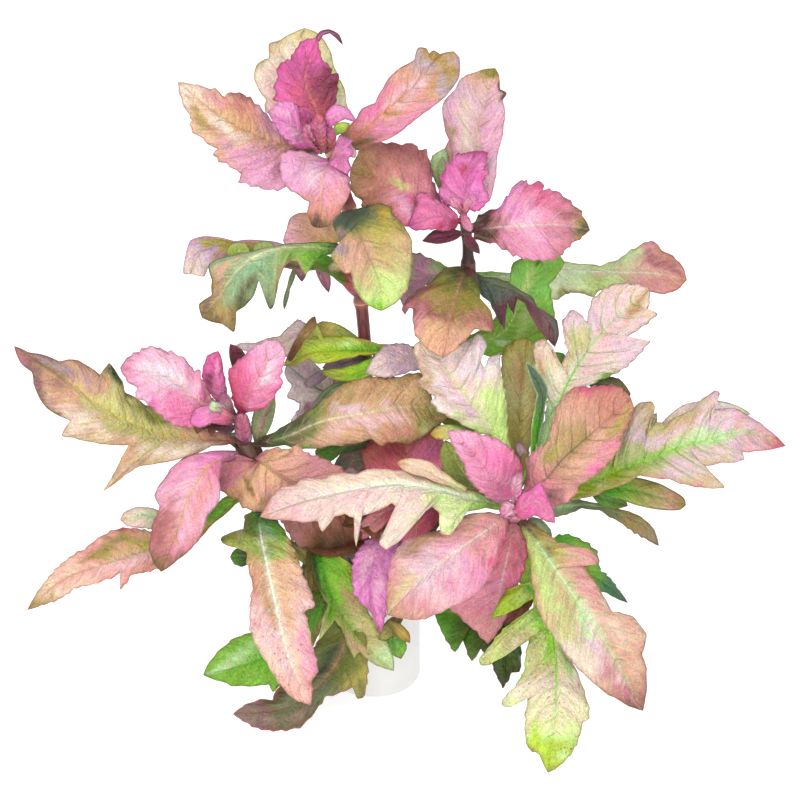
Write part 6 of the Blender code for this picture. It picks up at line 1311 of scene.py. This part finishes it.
def stem_finish():
    """Smooth plant skin: maroon streaked with darker lines that run lengthwise, and painted
    shade: a mark that takes a whole stem in the leaves' shade towards black."""
    material, shader = new_finish("maroon stem skin", 0.42)
    tree = material.node_tree
    walk, turn, joint, dark = (add(tree, "Attribute", attribute_name=key).outputs["Fac"]
                               for key in ("walk", "turn", "joint", "dark"))
    place = add(tree, "TexCoord").outputs["Object"]
    slow = add(tree, "Math", {0: walk, 1: 0.08}, operation="MULTIPLY").outputs[0]
    spread = add(tree, "Math", {0: turn, 1: 4.0}, operation="MULTIPLY").outputs[0]
    cane = add(tree, "CombineXYZ", {0: spread, 1: slow}).outputs[0]
    streak = add(tree, "TexNoise", {"Vector": cane, "Scale": 2.2, "Detail": 4.0})
    ramp = add(tree, "ValToRGB", {"Fac": streak.outputs["Fac"]})
    set_stops(ramp, ((0.3, hex_colour("#34141a")), (0.72, hex_colour("#7c3c3a"))))
    swollen = add(tree, "Math", {0: joint, 1: 0.5}, operation="MULTIPLY").outputs[0]
    scar = add(tree, "MapRange", {"Value": joint, "From Min": 0.94, "From Max": 1.0,
                                  "To Max": 0.7}).outputs[0]
    # painted shade: a stem with the dark mark is mixed most of the way to near-black maroon.
    shaded = add(tree, "Math", {0: dark, 1: 0.85}, operation="MULTIPLY").outputs[0]
    colour = ramp.outputs["Color"]
    for share, tint in ((swollen, "#b0705e"), (scar, "#dca88a"), (shaded, "#200c10")):
        colour = add(tree, "Mix", {0: share, 6: colour, 7: hex_colour(tint)}, data_type="RGBA").outputs[2]
    tree.links.new(colour, shader.inputs["Base Color"])
    grain = add(tree, "TexNoise", {"Vector": place, "Scale": MOTTLE, "Detail": 2.0})
    bump = add(tree, "Bump", {"Height": grain.outputs["Fac"], "Strength": 0.3, "Distance": 0.0002})
    tree.links.new(bump.outputs["Normal"], shader.inputs["Normal"])
    return material


stem_skin = stem_finish()
for letter in STEMS:
    grid, marks = stem_grid(letter)
    cane = make_piece("cane_" + letter, grid, stem_skin, marks)
    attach(cane, "root")
    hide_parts("stem_" + letter)
print("stems made:", len(STEMS))

# %% [markdown]
# The cup is injection-moulded white plastic, so its skin is glossy and faintly uneven. Its
# profile is turned: a flat foot, a round foot edge, a straight side and a rounded rim, then
# down again on the inside to the floor. A lathe would close it in two poles, so the profile
# stops just short of the axis, and a small flat cap closes it.

# %% The cup
CUP_RADIUS = 20.5
CUP_HEIGHT = 55.0
CUP_WALL = 2.0
CUP_FLOOR = 4.0
CUP_FOOT_ROUND = 5.0
CUP_POLE = 0.4
CUP_SIDES = 96
FOOT_STEPS, SIDE_STEPS, RIM_STEPS = 14, 16, 12


def turned_grid(profile, sides):
    """Rings of a turned shape: each profile point is a radius and a height, and a ring puts
    the radius's cosine and sine around the axis at that height."""
    turn = 2 * math.pi * np.arange(sides) / sides
    radius, height = profile.T
    return np.stack((radius[:, None] * np.cos(turn), radius[:, None] * np.sin(turn),
                     np.repeat(height[:, None], sides, axis=1)), axis=-1)


def cup_profile():
    """Foot, quarter circle, side, half circle of the rim, inner side and inner floor."""
    foot = CUP_RADIUS - CUP_FOOT_ROUND
    quarter = np.linspace(0.0, math.pi / 2, FOOT_STEPS)
    low = np.stack((foot + CUP_FOOT_ROUND * np.sin(quarter),
                    CUP_FOOT_ROUND * (1 - np.cos(quarter))), axis=-1)
    side = np.stack((np.full(SIDE_STEPS, CUP_RADIUS),
                     np.linspace(CUP_FOOT_ROUND + 1.5, CUP_HEIGHT - 2.0, SIDE_STEPS)), axis=-1)
    half = np.linspace(0.0, math.pi, RIM_STEPS)
    middle = CUP_RADIUS - 0.5 * CUP_WALL
    rim = np.stack((middle + 0.5 * CUP_WALL * np.cos(half),
                    CUP_HEIGHT - 0.5 * CUP_WALL + 0.5 * CUP_WALL * np.sin(half)), axis=-1)
    inside = CUP_RADIUS - CUP_WALL
    inner = np.array(((inside, CUP_HEIGHT - 4.0), (inside, CUP_FLOOR + 1.0),
                      (inside - 0.6, CUP_FLOOR + 0.2), (inside - 1.5, CUP_FLOOR),
                      (CUP_POLE, CUP_FLOOR)))
    return np.vstack(((CUP_POLE, 0.0), (foot - 3.0, 0.0), low, side, rim, inner))


cup_white, shader = new_finish("moulded white plastic", 0.22, 1.49)
tree = cup_white.node_tree
place = add(tree, "TexCoord").outputs["Object"]
flow = add(tree, "TexNoise", {"Vector": place, "Scale": 1 / 0.02, "Detail": 3.0})
shade = add(tree, "Mix", {0: flow.outputs["Fac"], 6: hex_colour("#dcdcda"), 7: hex_colour("#e6e6e4")},
            data_type="RGBA").outputs[2]
tree.links.new(shade, shader.inputs["Base Color"])
skin = add(tree, "MapRange", {"Value": flow.outputs["Fac"], "To Min": 0.16, "To Max": 0.3}).outputs[0]
tree.links.new(skin, shader.inputs["Roughness"])
peel = add(tree, "TexNoise", {"Vector": place, "Scale": 1 / 0.004, "Detail": 2.0})
bump = add(tree, "Bump", {"Height": peel.outputs["Fac"], "Strength": 0.12, "Distance": 0.0004})
tree.links.new(bump.outputs["Normal"], shader.inputs["Normal"])
cup = make_piece("white_cup", turned_grid(cup_profile(), CUP_SIDES), cup_white, {})
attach(cup, "root")
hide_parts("cup")
print("cup faces:", len(cup.data.polygons))

# %% [markdown]
# The growing medium is a plug of dark, crumbly fibre with pale mineral grains in it. The plug
# is one turned shape whose top is lifted by a sum of waves, and the grains are small lumps
# pressed into it.

# %% The growing medium
MEDIUM_RADIUS = 18.2
MEDIUM_BOTTOM = 4.3
MEDIUM_SIDES = 120
MEDIUM_RINGS = 60
MEDIUM_POLE = 0.3
MEDIUM_PLAY = 0.1
MEDIUM_SHOULDER = 3.0
MEDIUM_EDGE_DROP = 0.8
GRAIN_COUNT = 140


def medium_top(x, y):
    """The height of the crumbly top: a slow swell plus two finer sets of crossed waves."""
    slow = 1.1 * np.sin(0.9 * x + 1.0) * np.cos(0.8 * y)
    crumbs = 0.35 * np.sin(2.7 * x + 1.3 * y) * np.sin(3.1 * y - 0.7 * x)
    return MEDIUM_TOP + 0.6 * slow + crumbs + 0.2 * np.sin(6.1 * x) * np.sin(5.3 * y + 0.4)


plug_radius = MEDIUM_RADIUS - MEDIUM_PLAY
rings = np.linspace(plug_radius, MEDIUM_POLE, MEDIUM_RINGS)
profile = np.vstack(((MEDIUM_POLE, MEDIUM_BOTTOM), (plug_radius, MEDIUM_BOTTOM),
                     (plug_radius, MEDIUM_TOP - MEDIUM_SHOULDER),
                     np.stack((rings, np.full(MEDIUM_RINGS, MEDIUM_TOP)), axis=-1)))
plug_grid = turned_grid(profile, MEDIUM_SIDES)
plug_grid[3:, :, 2] = medium_top(plug_grid[3:, :, 0], plug_grid[3:, :, 1])
plug_grid[3, :, 2] -= MEDIUM_EDGE_DROP

dark_fibre, shader = new_finish("dark coir and peat plug", 0.9, 1.4)
tree = dark_fibre.node_tree
place = add(tree, "TexCoord").outputs["Object"]
crumb = add(tree, "TexNoise", {"Vector": place, "Scale": 1 / 0.0012, "Detail": 6.0, "Roughness": 0.7})
ramp = add(tree, "ValToRGB", {"Fac": crumb.outputs["Fac"]})
set_stops(ramp, ((0.35, hex_colour("#0e0b09")), (0.75, hex_colour("#4a4038"))))
tree.links.new(ramp.outputs["Color"], shader.inputs["Base Color"])
bump = add(tree, "Bump", {"Height": crumb.outputs["Fac"], "Strength": 0.9, "Distance": 0.0012})
tree.links.new(bump.outputs["Normal"], shader.inputs["Normal"])
plug = make_piece("medium_plug", plug_grid, dark_fibre, {})
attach(plug, "root")
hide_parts("medium")
print("medium faces:", len(plug.data.polygons))

# %% Pale grains in the medium
rng = np.random.default_rng(7)
GRAIN_RINGS = 6
GRAIN_SIDES = 8
GRAIN_POLE = 0.15
GRAIN_MARGIN = 1.5
GRAIN_LIFT = 0.15
GRAIN_RADIUS = (0.35, 0.95)
GRAIN_STRETCH = (0.7, 1.2)
GRAIN_ROUGHNESS = 0.18


def grain_faces(count):
    """The quads of many small closed lumps at once: one lump's faces, shifted for each."""
    shift = np.arange(count)[:, None, None] * GRAIN_RINGS * GRAIN_SIDES
    faces = (ring_quads(GRAIN_RINGS, GRAIN_SIDES)[None] + shift).reshape(-1, 4).tolist()
    caps = np.arange(GRAIN_SIDES)
    last = (GRAIN_RINGS - 1) * GRAIN_SIDES
    faces += (caps[::-1][None] + shift[:, 0]).tolist()
    faces += (caps[None] + last + shift[:, 0]).tolist()
    return faces


def grain_points(count):
    """Lumps: a ball's rings, stretched by three lengths each and roughened by a wave, set on
    the medium's top at random places."""
    polar = np.linspace(GRAIN_POLE, math.pi - GRAIN_POLE, GRAIN_RINGS)[None, :, None]
    turn = (2 * math.pi * np.arange(GRAIN_SIDES) / GRAIN_SIDES)[None, None, :]
    size = rng.uniform(*GRAIN_RADIUS, (count, 1, 1, 1)) * rng.uniform(*GRAIN_STRETCH, (count, 1, 1, 3))
    rough = 1.0 + GRAIN_ROUGHNESS * np.sin(3 * turn + 5 * polar + rng.uniform(0, 6, (count, 1, 1)))
    ball = np.stack((rough * np.sin(polar) * np.cos(turn), rough * np.sin(polar) * np.sin(turn),
                     rough * -np.cos(polar)), axis=-1) * size
    reach = (MEDIUM_RADIUS - GRAIN_MARGIN) * np.sqrt(rng.uniform(0.0, 1.0, count))
    angle = rng.uniform(0.0, 2 * math.pi, count)
    x, y = reach * np.cos(angle), reach * np.sin(angle)
    centre = np.stack((x, y, medium_top(x, y) + GRAIN_LIFT), axis=-1)
    return (ball + centre[:, None, None]).reshape(-1, 3)


pumice, shader = new_finish("pale pumice grit", 0.85, 1.5)
tree = pumice.node_tree
place = add(tree, "TexCoord").outputs["Object"]
pores = add(tree, "TexNoise", {"Vector": place, "Scale": 1 / 0.0009, "Detail": 4.0})
ramp = add(tree, "ValToRGB", {"Fac": pores.outputs["Fac"]})
set_stops(ramp, ((0.0, hex_colour("#8a857c")), (1.0, hex_colour("#efece6"))))
tree.links.new(ramp.outputs["Color"], shader.inputs["Base Color"])
grains = place_mesh("pale_grains", grain_points(GRAIN_COUNT), grain_faces(GRAIN_COUNT), pumice)
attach(grains, "root")
print("grains:", GRAIN_COUNT)

# %% [markdown]
# The photograph is bright and almost without shadows, on white. A pale floor, which glows a
# little as a light table does, and an even white surround give half of the light. Three broad
# soft lamps give the other half: the strongest from the upper left, so that every wrinkle of
# a leaf has a bright and a shaded side, one from the right, and one from behind and above
# the camera, whose shadows fall where the camera can't see them.

# %% Floor and light
FLOOR_REACH = 8000.0
floor_corners = FLOOR_REACH * np.array(((-1, -1, 0), (1, -1, 0), (1, 1, 0), (-1, 1, 0)))
opal, shader = new_finish("opal light table", 0.9, 1.49)
shader.inputs["Base Color"].default_value = hex_colour("#f4f4f4")
shader.inputs["Emission Color"].default_value = hex_colour("#ffffff")
shader.inputs["Emission Strength"].default_value = 0.35
floor = place_mesh("floor", floor_corners, [(0, 1, 2, 3)], opal)

SURROUND = 0.76
world = bpy.data.worlds.new("even white surround")
world.use_nodes = True
world.node_tree.nodes["Background"].inputs["Color"].default_value = (1.0, 1.0, 1.0, 1.0)
world.node_tree.nodes["Background"].inputs["Strength"].default_value = SURROUND
bpy.context.scene.world = world


def soft_lamp(name, place, aim, size, power):
    """A square lamp that many soft shadows come from: its own -Z is turned towards its aim."""
    lamp = bpy.data.lights.new(name, "AREA")
    lamp.size = size
    lamp.energy = power
    holder = bpy.data.objects.new(name, lamp)
    holder.location = place
    towards = unit(np.array(aim) - np.array(place))
    turn = math.atan2(towards[1], towards[0]) - math.pi / 2
    holder.rotation_euler = (math.acos(-towards[2]), 0.0, turn)
    bpy.context.scene.collection.objects.link(holder)
    return holder


PLANT_MIDDLE = (0.0, 0.0, 0.14)
soft_lamp("broad left lamp", (-1.1, -1.1, 1.5), PLANT_MIDDLE, 1.2, 28.0)
soft_lamp("broad right lamp", (1.3, -0.9, 1.3), PLANT_MIDDLE, 1.2, 13.0)
soft_lamp("camera side lamp", (0.05, -1.7, 1.0), PLANT_MIDDLE, 0.9, 9.0)
bpy.context.scene.view_settings.view_transform = "Standard"
print("lamps: 3, surround's strength", SURROUND)
